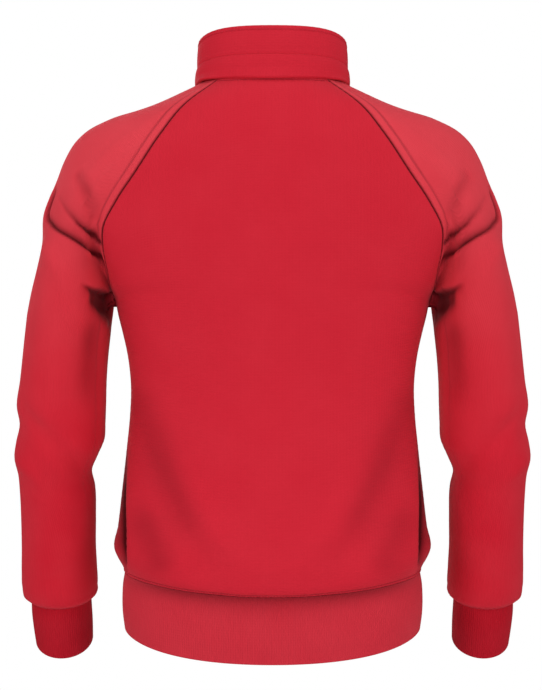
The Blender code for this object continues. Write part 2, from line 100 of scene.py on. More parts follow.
def ease(start, leave, end, arrive, t):
    """Cubic curve between two points, from its direction at the first to its direction at the last."""
    return (start * (1 + 2 * t) * (1 - t) ** 2 + end * t * t * (3 - 2 * t)
            + leave * t * (1 - t) ** 2 - arrive * t * t * (1 - t))


def curve(knots, values, places):
    """Smooth curve through values at rising knots, read at the given places."""
    slopes = np.gradient(values, knots, axis=0)
    places = np.clip(places, knots[0], knots[-1])
    index = np.clip(np.searchsorted(knots, places) - 1, 0, len(knots) - 2)
    span = (knots[index + 1] - knots[index]).reshape((-1,) + (1,) * (values.ndim - 1))
    t = (places - knots[index]).reshape(span.shape) / span
    return ease(values[index], slopes[index] * span, values[index + 1], slopes[index + 1] * span, t)


def follow(rows, name, places):
    """Value of one column of a table at places along its first column, on a smooth curve."""
    knots = np.array([row[0] for row in rows])
    values = np.array([getattr(row, name) for row in rows])
    order = np.argsort(knots)
    return curve(knots[order], values[order], places)


def smooth_step(t):
    """0 below 0, 1 above 1 and 3 t squared less 2 t cubed between."""
    t = np.clip(t, 0.0, 1.0)
    return t * t * (3 - 2 * t)


def unit(vectors):
    """Vectors of an array, each divided by its own length."""
    return vectors / np.maximum(np.linalg.norm(vectors, axis=-1, keepdims=True), TINY)


def travel(points):
    """Distance from the first point along a path, or along each column of a grid."""
    steps = np.linalg.norm(np.diff(points[..., :3], axis=0), axis=-1)
    return np.concatenate([0.0 * steps[:1], np.cumsum(steps, axis=0)])


def read_line(values, reached, places):
    """Points or directions along a line, read at places between the distances reached."""
    return np.stack([np.interp(places, reached, values[:, axis]) for axis in range(3)], axis=-1)


def neckline(turn):
    """Left half of a rounded square: powers of the sine and cosine of the turn, from 0 at the centre
    back to 1 at the centre front, where it has dropped by a smooth step."""
    angle = np.pi * np.asarray(turn)
    power = 2.0 / ROUNDING
    depth = np.where(np.cos(angle) > 0, NECK_BACK, NECK_FRONT)
    across = NECK_HALF_WIDTH * np.sin(angle) ** power
    along = depth * np.sign(np.cos(angle)) * np.abs(np.cos(angle)) ** power
    drop = smooth_step((np.asarray(turn) - NECK_DROP_START) / (1.0 - NECK_DROP_START))
    return np.stack([across, along, NECK_HEIGHT - NECK_FRONT_DROP * drop], axis=-1)


def raglan_seam(rows, neck_turn, steps):
    """Curve through the table's points from the underarm to the neckline, divided evenly."""
    top = neckline(neck_turn)
    rows = rows + [SeamRow(top[2], top[0], top[1])]
    heights = np.linspace(rows[0].height, rows[-1].height, SEAM_DRAWING)
    line = np.stack([follow(rows, "across", heights), follow(rows, "depth", heights), heights], axis=1)
    travelled = travel(line)
    return read_line(line, travelled, np.linspace(0.0, travelled[-1], steps + 1))


def fall_back(share):
    """How far a rounded square has turned back from its middle, at a share of its half width."""
    return 1.0 - (1.0 - np.clip(share, 0.0, 1.0) ** ROUNDING) ** (1.0 / ROUNDING)


def panel(edge, middle_rows, neck_middle):
    """Grid of rows from hem to neck and columns from left to right. Each row is a stretch of a rounded
    square, as wide as the seam's point on it and as deep and high at its middle as the table says."""
    middle_rows = middle_rows + [MiddleRow(edge[-1, 2], neck_middle[2], neck_middle[1])]
    middle_height = follow(middle_rows, "height", edge[:, 2])
    middle_depth = follow(middle_rows, "depth", edge[:, 2])
    above = np.clip((edge[:, 2] - SIDE[-1].height) / (edge[-1, 2] - SIDE[-1].height), 0.0, 1.0)
    reach = 1.0 + (edge[-1, 0] / NECK_HALF_WIDTH - 1.0) * smooth_step(above)
    turn = np.linspace(1.0, -1.0, PANEL_STEPS + 1)[None, :]
    angle = np.arcsin(reach)[:, None] * turn
    share = np.abs(np.sin(angle))
    x = edge[:, 0, None] * np.sin(angle) / reach[:, None]
    back = fall_back(share) / fall_back(reach)[:, None]
    y = middle_depth[:, None] + (edge[:, 1] - middle_depth)[:, None] * back
    rise = (share / reach[:, None]) ** 2
    z = middle_height[:, None] + (edge[:, 2] - middle_height)[:, None] * rise
    return np.stack([x, y, z], axis=-1)


side_heights = np.linspace(SIDE[0].height, SIDE[-1].height, SIDE_STEPS + 1)
side_seam = np.stack([follow(SIDE, "half_width", side_heights), 0.0 * side_heights, side_heights], axis=1)
back_raglan = raglan_seam(BACK_RAGLAN, BACK_SEAM_TURN, BACK_TENTHS * BACK_COLUMNS)
front_raglan = raglan_seam(FRONT_RAGLAN, FRONT_SEAM_TURN, FRONT_TENTHS * FRONT_COLUMNS)
forms = {
    "back_panel": panel(np.concatenate([side_seam, back_raglan[1:]]), BACK_MIDDLE, neckline(0.0)),
    "front_panel": panel(np.concatenate([side_seam, front_raglan[1:]]), FRONT_MIDDLE, neckline(1.0)),
}

# How the cloth lies beside a seam: its edge dips into the seam, and the doubled cloth stands up a
# little as far as the row of stitches, which presses a narrow line into it.
SEAM_DIP, SEAM_WIDTH = 0.0014, 0.0011
SEAM_RAISE = 0.0005
# The seam and the stitch line are darkened by painted shade, the line by this share.
STITCH_DIP, STITCH_WIDTH, STITCH_SHADE = 0.0006, 0.0008, 0.45
RAGLAN_STITCH = 0.0062
NECK_STITCH = 0.0050
HEM_STITCH = 0.0046
PUCKER, PUCKER_LENGTH, PUCKER_REACH = 0.00016, 0.0085, 0.010
PUCKER_DRIFT, PUCKER_DRIFT_LENGTH = 2.0, 0.037
TURN_DEPTH, TURN_REACH = 0.0030, 0.0004

# Rows and columns of mesh beside a seam. A sleeve has all these rows at the armhole, and a panel and
# a band have the first ones, as many as given.
FINE_ROWS = 0.001 * np.array(
    [0.0, 0.6, 1.3, 2.2, 3.3, 4.1, 4.6, 5.0, 5.4, 6.2, 7.0, 7.5, 8.0, 9.2, 11.0, 13.5])
PANEL_FINE, BAND_FINE = 12, 11
FINE_COLUMNS = 0.001 * np.array([0.0, 0.6, 1.3, 2.2, 3.4, 5.0, 7.0])
EVEN_ROWS, EVEN_COLUMNS = 160, 130
LEAST_SLANT = 0.35

# Folds of the body. Each follows a curve through points (across, height) as seen from behind or in front,
# with widths and depths along it. A depth above 0 is a trough. A lap above 0 slides the left lip so far
# over a hollow on its right, and the shade says how dark the fold's hollow is made by painted shade.
# "right" is how deep the garment's right side has the same fold, as a share of its left.
Fold = namedtuple("Fold", "path widths depths right lap shade", defaults=(0.0, 0.0))
BACK_FOLDS = (
    Fold(((0.160, -0.330), (0.149, -0.372), (0.127, -0.425), (0.101, -0.484), (0.086, -0.522)),
         (0.012, 0.018, 0.021, 0.019, 0.014), (0.0, 0.0060, 0.0085, 0.0056, 0.0), 0.9, shade=0.30),
    Fold(((0.134, -0.392), (0.108, -0.438), (0.064, -0.500), (0.020, -0.548)),
         (0.012, 0.018, 0.018, 0.016), (0.0, -0.0054, -0.0062, 0.0), 0.8),
    Fold(((0.152, -0.350), (0.143, -0.385), (0.127, -0.424), (0.114, -0.452)),
         (0.005, 0.006, 0.006, 0.005), (0.0, -0.0013, -0.0016, 0.0), 0.6),
    Fold(((0.102, -0.490), (0.080, -0.532), (0.062, -0.562)),
         (0.012, 0.016, 0.014), (0.0, 0.0044, 0.0012), 0.7),
    Fold(((0.152, -0.465), (0.142, -0.500), (0.126, -0.535), (0.112, -0.556)),
         (0.010, 0.018, 0.018, 0.012), (0.0, 0.0034, 0.0034, 0.0), 0.7, shade=0.28),
)
# Fold beside the side seam, its hollow darkened by painted shade.
SIDE_FOLD = Fold(
    ((0.1640, -0.4000), (0.1655, -0.4400), (0.1655, -0.4800), (0.1640, -0.5150), (0.1630, -0.5400)),
    (0.012, 0.014, 0.014), (0.0, 0.0060, 0.0110, 0.0120, 0.0060), 1.0, lap=0.0010, shade=0.8)
FRONT_FOLDS = (
    Fold(((0.156, -0.345), (0.143, -0.390), (0.118, -0.446), (0.088, -0.504)),
         (0.012, 0.020, 0.022, 0.016), (0.0, 0.0046, 0.0050, 0.0), 0.85),
    Fold(((0.126, -0.415), (0.092, -0.468), (0.052, -0.520), (0.022, -0.550)),
         (0.012, 0.019, 0.020, 0.014), (0.0, -0.0036, -0.0040, 0.0), 0.9),
    Fold(((0.170, -0.230), (0.140, -0.252), (0.096, -0.262)),
         (0.010, 0.018, 0.022), (0.0, 0.0022, 0.0), 0.7),
    Fold(((0.132, -0.170), (0.120, -0.215), (0.098, -0.258)),
         (0.012, 0.020, 0.020), (0.0, -0.0018, 0.0), 1.0),
)
PATH_POINTS = 48
# Where cloth gathers, its rows are drawn together by this share of a column, over this reach.
CROWD_SHARE, CROWD_REACH, CROWD_STEPS = 0.11, 0.050, 1000
# A lapped fold has an edge this sharp over a slot this wide. Its lip stands up, and its hollow goes on
# behind the slot, by these shares of its depth. The slot's painted shade grows with its depth.
LAP_EDGE, SLOT_WIDTH = 0.0010, 0.0034
LIP_SHARE, HOLLOW_SHARE = 0.40, 0.5
CREASE_SHADE = 2.2
MIRROR = np.array([-1.0, 1.0, 1.0])


def surface_normals(points, closed):
    """Outward directions: the cross product of the steps down the rows and along the columns. A closed
    grid's last column is its first again."""
    if closed:
        open_points = points[:, :-1]
        along = np.roll(open_points, -1, axis=1) - np.roll(open_points, 1, axis=1)
        along = np.concatenate([along, along[:, :1]], axis=1)
        centre = open_points.mean(axis=1, keepdims=True)
    else:
        along = np.gradient(points, axis=1)
        centre = np.array([0.0, 0.0, points[..., 2].mean()])
    normal = unit(np.cross(np.gradient(points, axis=0), along))
    return normal if np.sum(normal * (points - centre)) > 0 else -normal


def pick(values, rows):
    """Values of a grid at a different row in each column."""
    return np.take_along_axis(values, rows[..., None], axis=0)


def drawn_together(count, place):
    """Rising shares from 0 to 1 for each column, closer together round its place. They are read back
    from a sum of the share and a hyperbolic tangent of the distance from the place."""
    fine = np.linspace(0.0, 1.0, CROWD_STEPS)
    shares = []
    for middle in place:
        crowd = fine + CROWD_SHARE * np.tanh((fine - middle) / CROWD_REACH)
        shares.append(np.interp(np.linspace(crowd[0], crowd[-1], count + 2)[1:-1], crowd, fine))
    return np.stack(shares, axis=1)


def respace(grid, near, far, count, near_slant=1.0, far_slant=1.0, crowded=None):
    """The same grid with its rows set anew: at the near distances from the first row, at the far ones
    from the last, and evenly between, or closer round one share of each column. The slants are how
    straight each column leaves the edge."""
    reached = travel(grid)
    length = reached[-1]
    start = near[:, None] / near_slant + 0 * length
    end = length - far[::-1, None] / far_slant
    share = np.linspace(0.0, 1.0, count + 2)[1:-1, None]
    if crowded is not None:
        share = drawn_together(count, crowded)
    stops = np.concatenate([start, start[-1] + (end[0] - start[-1]) * share, end])
    index = np.clip((reached[None] <= stops[:, None]).sum(axis=1) - 1, 0, len(grid) - 2)
    low = np.take_along_axis(reached, index, axis=0)
    high = np.take_along_axis(reached, index + 1, axis=0)
    t = ((stops - low) / np.maximum(high - low, TINY))[..., None]
    slopes = np.gradient(grid, axis=0)
    return ease(pick(grid, index), pick(slopes, index), pick(grid, index + 1), pick(slopes, index + 1), t)


def flipped(grid):
    """The grid with its rows and columns exchanged."""
    return np.swapaxes(grid, 0, 1)


def slant(points):
    """Sine of the angle between the first row and the columns that leave it."""
    along = unit(np.gradient(points[0, :, :3], axis=0))
    away = unit(points[1, :, :3] - points[0, :, :3])
    return np.maximum(np.linalg.norm(np.cross(along, away), axis=-1), LEAST_SLANT)


def along_values(values, share):
    """Values spaced evenly from 0 to 1, joined by smooth steps and read at the given shares."""
    values = np.array(values)
    place = np.clip(share, 0.0, 1.0) * (len(values) - 1)
    index = np.minimum(place.astype(int), len(values) - 2)
    return values[index] + (values[index + 1] - values[index]) * smooth_step(place - index)


def beside(points, normals, path):
    """Distance of each point from a path, positive to the left of its direction as seen from outside,
    the share of the path reached there, and the direction to that side."""
    steps = np.diff(path, axis=0)
    offset = points[:, None] - path[None, :-1]
    t = np.clip(np.einsum("psi,si->ps", offset, steps) / np.sum(steps ** 2, axis=1), 0.0, 1.0)
    gap = np.linalg.norm(offset - t[..., None] * steps[None], axis=-1)
    nearest = np.argmin(gap, axis=1)
    every = np.arange(len(points))
    t = t[every, nearest]
    away = offset[every, nearest] - t[:, None] * steps[nearest]
    left = unit(np.cross(normals, steps[nearest]))
    side = np.sign(np.sum(away * left, axis=1))
    return side * gap[every, nearest], (nearest + t) / len(steps), left


def drawn_path(points):
    """Smooth curve through the points of a path, drawn with the same number of points for all."""
    points = np.array(points, dtype=float)
    numbers = np.arange(len(points), dtype=float)
    return curve(numbers, points, np.linspace(0.0, numbers[-1], PATH_POINTS))


def fold_shift(points, normals, out, paths, folds, share):
    """Movement of each point by the folds, and the painted shade they put on it. A soft fold is a bell
    across its path. A lapped one sinks on its right down to the path and stands up on its left, and its
    left lip slides over the hollow."""
    moved = np.zeros(points.shape)
    shade = np.zeros(len(points))
    for fold, path in zip(folds, paths):
        distance, reached, left = beside(points, normals, path)
        width = along_values(fold.widths, reached)
        depth = along_values(fold.depths, reached) * share(fold)
        if fold.lap == 0.0:
            bell = np.exp(-(distance / width) ** 2)
            moved -= out * (depth * bell)[:, None]
            shade += fold.shade * np.abs(depth) / np.max(np.abs(fold.depths)) * bell
            continue
        lip = 1.0 / (1.0 + np.exp(-distance / LAP_EDGE))
        over = lip * np.exp(-np.maximum(distance, 0.0) / width)
        behind = np.maximum(-distance, 0.0)
        slot = (1.0 - lip) * np.exp(-behind / SLOT_WIDTH)
        under = slot + HOLLOW_SHARE * (1.0 - lip) * np.exp(-behind / width)
        fullness = depth / np.max(fold.depths)
        moved += out * (depth * (LIP_SHARE * over - under))[:, None]
        moved -= left * (fold.lap * fullness * over)[:, None]
        shade += np.minimum(CREASE_SHADE * fullness * slot, 1.0)
        shade += fullness * fold.shade * (1.0 - lip) * np.exp(-behind / width)
    return moved, shade


def seam_relief(distance, along, stitch, dip=SEAM_DIP):
    """Height of the cloth at a distance from a seam, and the painted shade in the seam and under a
    stitch, from 0 to 1. Dip, raise and stitch line are added up, with small puckers along the seam."""
    seam = np.exp(-(distance / SEAM_WIDTH) ** 2) * (dip > 0)
    if stitch is None:
        raised, line = 0.0, 0.0
    else:
        raised = smooth_step((stitch - distance) / STITCH_WIDTH + 0.5)
        line = np.exp(-((distance - stitch) / STITCH_WIDTH) ** 2)
    drift = PUCKER_DRIFT * np.sin(along / PUCKER_DRIFT_LENGTH)
    wave = np.sin(2 * np.pi * along / PUCKER_LENGTH + drift)
    pucker = PUCKER * wave * np.exp(-(distance / PUCKER_REACH) ** 2)
    height = SEAM_RAISE * raised + pucker - dip * seam - STITCH_DIP * line
    return height, np.maximum(seam, STITCH_SHADE * line)


def relief(*seams):
    """Heights beside several seams added up, and the darkest of their painted shades at each point."""
    heights, painted_shades = zip(*(seam_relief(*seam) for seam in seams))
    return sum(heights), np.maximum.reduce(painted_shades)


# From here on a grid holds nine values at each point: its place, the direction out of the cloth, its
# place on the flat cut in metres, and its painted shade, darker the further it lies down in a seam or
# fold or under a stitch.
PLACE, OUT, CUT, PAINTED_SHADE = slice(0, 3), slice(3, 6), slice(6, 8), 8


def turn_in(grid):
    """Add a row at either end, turned in below the cloth and a little past it, so a seam stays shut."""
    for _ in range(2):
        edge = grid[0].copy()
        edge[:, PLACE] += unit(grid[0, :, PLACE] - grid[1, :, PLACE]) * TURN_REACH
        edge[:, PLACE] -= grid[0, :, OUT] * TURN_DEPTH
        # The turned-in edge gets full painted shade.
        edge[:, PAINTED_SHADE] = 1.0
        grid = np.concatenate([edge[None], grid])[::-1]
    return grid


def cloth_mesh(name, grid, closed=False, looped=False):
    """Mesh of quads between neighbouring points of a grid. A closed grid's last column is its first,
    and a looped one's last row is its first. The flat cut is kept as the map "cut"."""
    rows, columns = grid.shape[0] - looped, grid.shape[1] - closed
    numbers = np.arange(rows * columns).reshape(rows, columns)
    numbers = np.concatenate([numbers, numbers[:1]]) if looped else numbers
    numbers = np.concatenate([numbers, numbers[:, :1]], axis=1) if closed else numbers
    corners = ((slice(None, -1), slice(None, -1)), (slice(None, -1), slice(1, None)),
               (slice(1, None), slice(1, None)), (slice(1, None), slice(None, -1)))
    quads = np.stack([numbers[corner] for corner in corners], axis=-1).reshape(-1, 4)
    cut = np.stack([grid[corner][..., CUT] for corner in corners], axis=-2).reshape(-1, 4, 2)
    first = grid[corners[0]]
    facing = np.cross((grid[corners[1]] - first)[..., PLACE], (grid[corners[3]] - first)[..., PLACE])
    if np.sum(facing * first[..., OUT]) < 0:
        quads, cut = quads[:, ::-1], cut[:, ::-1]
    mesh = bpy.data.meshes.new(name)
    kept = grid[:rows, :columns].reshape(-1, grid.shape[2])
    mesh.from_pydata(kept[:, PLACE].tolist(), [], quads.tolist())
    mesh.uv_layers.new(name="cut").data.foreach_set("uv", cut.reshape(-1).astype(np.float32))
    # The painted shade of seams and folds goes on the mesh as a point attribute.
    painted_shade = mesh.attributes.new("painted_shade", "FLOAT", "POINT")
    painted_shade.data.foreach_set("value", kept[:, PAINTED_SHADE].astype(np.float32))
    mesh.shade_smooth()
    return mesh


def placed(name, data):
    """Object for a mesh, a light or a camera, linked to the scene."""
    thing = bpy.data.objects.new(name, data)
    bpy.context.scene.collection.objects.link(thing)
    return thing


def cloth_piece(name, mesh, material, thickness=None):
    """Object for a piece of cloth, which takes the place of the CAD node of its name and, if it is a
    single layer, gets its thickness behind its face."""
    piece = placed("cloth_" + name, mesh)
    mesh.materials.append(material)
    if thickness is not None:
        solid = piece.modifiers.new("thickness", "SOLIDIFY")
        solid.thickness = thickness
        solid.offset = -1.0
    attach(piece, "root")
    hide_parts(name)
    return piece


# Finish of the knit: a honeycomb of raised cells on two slanting sets of waves, fuzzed by fine noise.
KNIT_CELL, KNIT_SLANT = 0.0030, 0.80
KNIT_RELIEF = 0.00018
KNIT_RED = (0.600, 0.0130, 0.0300, 1.0)
KNIT_LIGHT = (0.670, 0.0260, 0.0460, 1.0)
KNIT_PAINTED_SHADE = (0.070, 0.0001, 0.0020, 1.0)
KNIT_ROUGHNESS, KNIT_SHEEN = 0.80, 0.07

# Any cloth here: scale in cells a metre, detail and share of the fuzz on its relief and of the clouds in
# its colour, then the shares that its pattern and the painted shade of its seams and folds have in the
# colour.
FUZZ = (2600.0, 2.0, 0.35)
CLOUDS = (22.0, 3.0, 0.5)
PATTERN_SHARE, PAINTED_SHADE_SHARE = 0.14, 0.90
CLOTH_SPECULAR, SHEEN_ROUGHNESS = 0.08, 0.45
SHEEN_TINT = (1.0, 0.62, 0.66, 1.0)


def fill(tree, node, values):
    """Give a node's inputs numbers, colours or other nodes' results."""
    for name, value in values.items():
        if isinstance(value, bpy.types.NodeSocket):
            tree.links.new(value, node.inputs[name])
        else:
            node.inputs[name].default_value = value


def add_node(tree, kind, values, **settings):
    """Outputs of a new node of a kind, with its settings and its inputs filled."""
    node = tree.nodes.new("ShaderNode" + kind)
    for name, value in settings.items():
        setattr(node, name, value)
    fill(tree, node, values)
    return node.outputs


def math_node(tree, operation, *values):
    """Result of a Math node on numbers and other nodes' results."""
    return add_node(tree, "Math", dict(enumerate(values)), operation=operation)[0]


def mix_node(tree, share, first, second):
    """Colour between two colours, by a share. The node's inputs 6 and 7 are its two colours."""
    return add_node(tree, "Mix", {0: share, 6: first, 7: second}, data_type="RGBA")[2]


def noise_node(tree, place, scale, detail):
    """Noise between 0 and 1 at a place, with so many cells a metre."""
    return add_node(tree, "TexNoise", {"Vector": place, "Scale": scale, "Detail": detail})["Fac"]


def new_material(name):
    """A material with its node tree and its shader."""
    material = bpy.data.materials.new(name)
    material.use_nodes = True
    return material, material.node_tree, material.node_tree.nodes["Principled BSDF"]


def cloth_material(name, pattern, colors, relief, roughness, sheen, painted_sheen=None):
    """Matte cloth whose colour and bump follow a pattern on its flat cut. It has its own colour, a
    lighter one where the pattern is high or the cloth varies, and a dark painted shade down in seams and
    folds. A painted sheen makes it lighter the higher up it is, standing in for light from above: where
    it starts and is full, and the shares of the sheen and the rest."""
    material, tree, shader = new_material(name)
    cut = add_node(tree, "UVMap", {}, uv_map="cut")[0]
    flat = add_node(tree, "SeparateXYZ", {0: cut})
    scale, detail, share = FUZZ
    fuzz = noise_node(tree, cut, scale, detail)
    height = math_node(tree, "MULTIPLY_ADD", fuzz, share, pattern(tree, flat[0], flat[1]))
    place = add_node(tree, "TexCoord", {})["Object"]
    scale, detail, share = CLOUDS
    cloudy = noise_node(tree, place, scale, detail)
    raised = math_node(tree, "MULTIPLY", height, PATTERN_SHARE)
    light = math_node(tree, "MULTIPLY_ADD", cloudy, share, raised)
    # Painted sheen: the cloth turns lighter higher up, standing in for light from above.
    if painted_sheen is not None:
        start, full, sheen_share, rest = painted_sheen
        level = add_node(tree, "SeparateXYZ", {0: place})[2]
        painted_sheen_mix = add_node(tree, "MapRange", {"Value": level, "From Min": start, "From Max": full},
                         interpolation_type="SMOOTHSTEP")[0]
        painted_sheen_mix = math_node(tree, "MULTIPLY", painted_sheen_mix, sheen_share)
        light = math_node(tree, "MULTIPLY_ADD", light, rest, painted_sheen_mix)
    main, lighter, painted_shade_color = colors
    color = mix_node(tree, math_node(tree, "MINIMUM", light, 1.0), main, lighter)
    painted_shade = add_node(tree, "Attribute", {}, attribute_name="painted_shade")["Fac"]
    color = mix_node(tree, math_node(tree, "MULTIPLY", painted_shade, PAINTED_SHADE_SHARE), color, painted_shade_color)
    bump = add_node(tree, "Bump", {"Strength": 1.0, "Distance": relief, "Height": height})[0]
    fill(tree, shader, {
        "Base Color": color, "Normal": bump, "Roughness": roughness,
        "Specular IOR Level": CLOTH_SPECULAR, "Sheen Weight": sheen,
        "Sheen Roughness": SHEEN_ROUGHNESS, "Sheen Tint": SHEEN_TINT,
    })
    return material


def honeycomb(tree, u, v):
    """Product of two sine waves that cross at a slant, raised by one and halved."""
    waves = []
    for slope in (KNIT_SLANT, -KNIT_SLANT):
        across = math_node(tree, "MULTIPLY", u, slope)
        angle = math_node(tree, "MULTIPLY", math_node(tree, "ADD", v, across), np.pi / KNIT_CELL)
        waves.append(math_node(tree, "SINE", angle))
    return math_node(tree, "MULTIPLY_ADD", math_node(tree, "MULTIPLY", *waves), 0.5, 0.5)


knit = cloth_material("red_knit", honeycomb, (KNIT_RED, KNIT_LIGHT, KNIT_PAINTED_SHADE), KNIT_RELIEF,
                      KNIT_ROUGHNESS, KNIT_SHEEN)


def straight_folds(points, facing, folds):
    """The body's folds and their painted shade, whose paths lie as seen from behind or in front, on the
    left and the right.
    """
    seen = points * np.array([1.0, 0.0, 1.0])
    outward = np.zeros(points.shape) + np.array([0.0, facing, 0.0])
    paths = [np.insert(drawn_path(fold.path), 1, 0.0, axis=1) for fold in folds]
    left, left_shade = fold_shift(seen, outward, outward, paths, folds, lambda fold: 1.0)
    right, right_shade = fold_shift(seen * MIRROR, outward, outward, paths, folds,
                                    lambda fold: fold.right)
    return np.sum((left + right) * outward, axis=1), left_shade + right_shade


# Each panel's facing, folds and flat cut, and the area of the cut without the corners that its
# armholes take off.
BodyCut = namedtuple("BodyCut", "facing folds flat area")
BODY_CUTS = {
    "back_panel": BodyCut(1.0, BACK_FOLDS + (SIDE_FOLD,), (0.500, 0.590), 0.231),
    "front_panel": BodyCut(-1.0, FRONT_FOLDS, (0.490, 0.525), 0.219),
}

edges = {name: surface_normals(form, False) for name, form in forms.items()}
side_normal = unit(sum(normals[:SIDE_STEPS + 1, 0] for normals in edges.values()))
for normals in edges.values():
    normals[:SIDE_STEPS + 1, 0] = side_normal
    normals[:SIDE_STEPS + 1, -1] = side_normal * MIRROR
finished = {}
for name, form in forms.items():
    body_cut = BODY_CUTS[name]
    grid = np.concatenate([form, edges[name]], axis=-1)
    fine = FINE_ROWS[:PANEL_FINE]
    grid = flipped(respace(grid, fine, fine, EVEN_ROWS))
    left_slant, right_slant = slant(grid), slant(grid[::-1])
    grid = flipped(respace(grid, FINE_COLUMNS, FINE_COLUMNS, EVEN_COLUMNS, left_slant, right_slant))
    base, out = grid[..., PLACE], unit(grid[..., OUT])
    up, sideways = travel(base), flipped(travel(flipped(base)))
    height, painted_shade = relief(
        (up, sideways, HEM_STITCH), (up[-1] - up, sideways, NECK_STITCH),
        (sideways * left_slant[:, None], up, None),
        ((sideways[:, -1:] - sideways) * right_slant[:, None], up, None))
    # The folds' painted shade darkens the cloth as the seams' does.
    fold_height, fold_shade = straight_folds(base.reshape(-1, 3), body_cut.facing, body_cut.folds)
    height += fold_height.reshape(height.shape) * np.abs(out[..., 1])
    painted_shade = np.maximum(painted_shade, fold_shade.reshape(height.shape))
    across = sideways - sideways[:, sideways.shape[1] // 2, None]
    marks = np.stack([across, up, painted_shade], axis=-1)
    finished[name] = np.concatenate([base + out * height[..., None], out, marks], axis=-1)
    grid = flipped(turn_in(flipped(turn_in(finished[name]))))
    piece = cloth_piece(name, cloth_mesh(name, grid), knit, BODY_CLOTH)

# ---------------------------------------------------------------------------------------------
# Sleeves: one piece of the same knit each, from the neckline over the shoulder to the wrist. Each is
# sewn into the slanting armhole with a row of stitches beside the seam, and closed under the arm.

RidgeRow = namedtuple("RidgeRow", "across height")
SHOULDER = [RidgeRow(*row) for row in (
    (0.1040, -0.0112), (0.1250, -0.0208), (0.1560, -0.0325), (0.1880, -0.0435), (0.2130, -0.0562),
    (0.2256, -0.0682), (0.2380, -0.0895), (0.2465, -0.1118), (0.2550, -0.1330), (0.2610, -0.1500),
    (0.2625, -0.1850), (0.2685, -0.2130), (0.2755, -0.2400),
)]
ArmRow = namedtuple("ArmRow", "height across depth half_width half_depth lean")
ARM = [ArmRow(*row) for row in (
    (-0.264, 0.2315, 0.004, 0.0490, 0.0690, 0.0), (-0.293, 0.2350, 0.006, 0.0485, 0.0660, 1.0),
    (-0.339, 0.2390, 0.009, 0.0490, 0.0630, 3.0), (-0.368, 0.2412, 0.009, 0.0505, 0.0620, 5.0),
    (-0.388, 0.2400, 0.008, 0.0485, 0.0600, 7.0), (-0.408, 0.2430, 0.006, 0.0500, 0.0600, 10.0),
    (-0.425, 0.2480, 0.003, 0.0475, 0.0580, 12.0), (-0.443, 0.2500, -0.002, 0.0420, 0.0550, 15.0),
    (-0.465, 0.2480, -0.008, 0.0430, 0.0540, 18.0), (-0.500, 0.2485, -0.020, 0.0430, 0.0520, 21.0),
    (-0.535, 0.2500, -0.033, 0.0430, 0.0500, 21.0), (-0.562, 0.2510, -0.045, 0.0440, 0.0490, 18.0),
    (-0.583, 0.2515, -0.055, 0.0440, 0.0475, 16.0), (-0.594, 0.2515, -0.061, 0.0415, 0.0445, 14.0),
    (-0.598, 0.2510, -0.063, 0.0350, 0.0385, 14.0),
)]
# The cap of the sleeve leaves the middle of the neckline, the tops of the slanting seams and the
# underarm at these slopes, and so many chord lengths set its curve.
SHOULDER_SLOPE = np.radians(24.0)
SEAM_TOP_SLOPE = np.radians(34.0)
UNDERARM_SLOPE = np.radians(15.0)
CAP_FULLNESS = 1.35
# Its crown follows the shoulder line, and is curved evenly so many tenths to either side of it. It
# comes in over the first share of the cap's length, and passes into the arm over the last.
CROWN_INNER, CROWN_OUTER, CROWN_SPREAD = 4, 6, 2.6
CROWN_DEPTH, CROWN_END = 5.0 / 18.0, 0.4
# Where the cloth of the cap gathers over the arm: turn round the sleeve in degrees, and height.
GATHER = ((0, -0.2080), (30, -0.2000), (60, -0.1880), (90, -0.1780), (120, -0.1680), (150, -0.1520),
          (180, -0.1400), (210, -0.1500), (240, -0.1640), (270, -0.1780), (300, -0.1880), (330, -0.1980),
          (360, -0.2080))
# The arm's direction is read over this length. A panel's facing passes into the sleeve's own over the
# next, the neckline's stitches into the armhole's over so many tenths, and the folds and their painted
# shade fade out towards the armhole over the last two.
DIRECTION_LENGTH, SEAM_BLEND, NECK_BLEND = 0.010, 0.030, 0.6
FOLD_FADE, SHADE_FADE = 0.010, 0.003
SLANT_REACH = 14
CAP_ROWS, ARM_ROWS = 60, 120
SLEEVE_ROWS, SLEEVE_COLUMNS = 158, 222
CUFF_STITCH = 0.0038

# The sleeves' knit is painted lighter over the shoulders, a painted sheen of the light from above: the
# heights where it starts and is full, its share in the colour, and the share that is left to the rest.
SLEEVE_RED = (0.640, 0.0060, 0.0230, 1.0)
SLEEVE_PALE_AND_SHEEN = (0.780, 0.0640, 0.0850, 1.0)
SLEEVE_RELIEF = 0.00026
SLEEVE_PAINTED_SHEEN = (-0.460, -0.040, 0.62, 0.5)

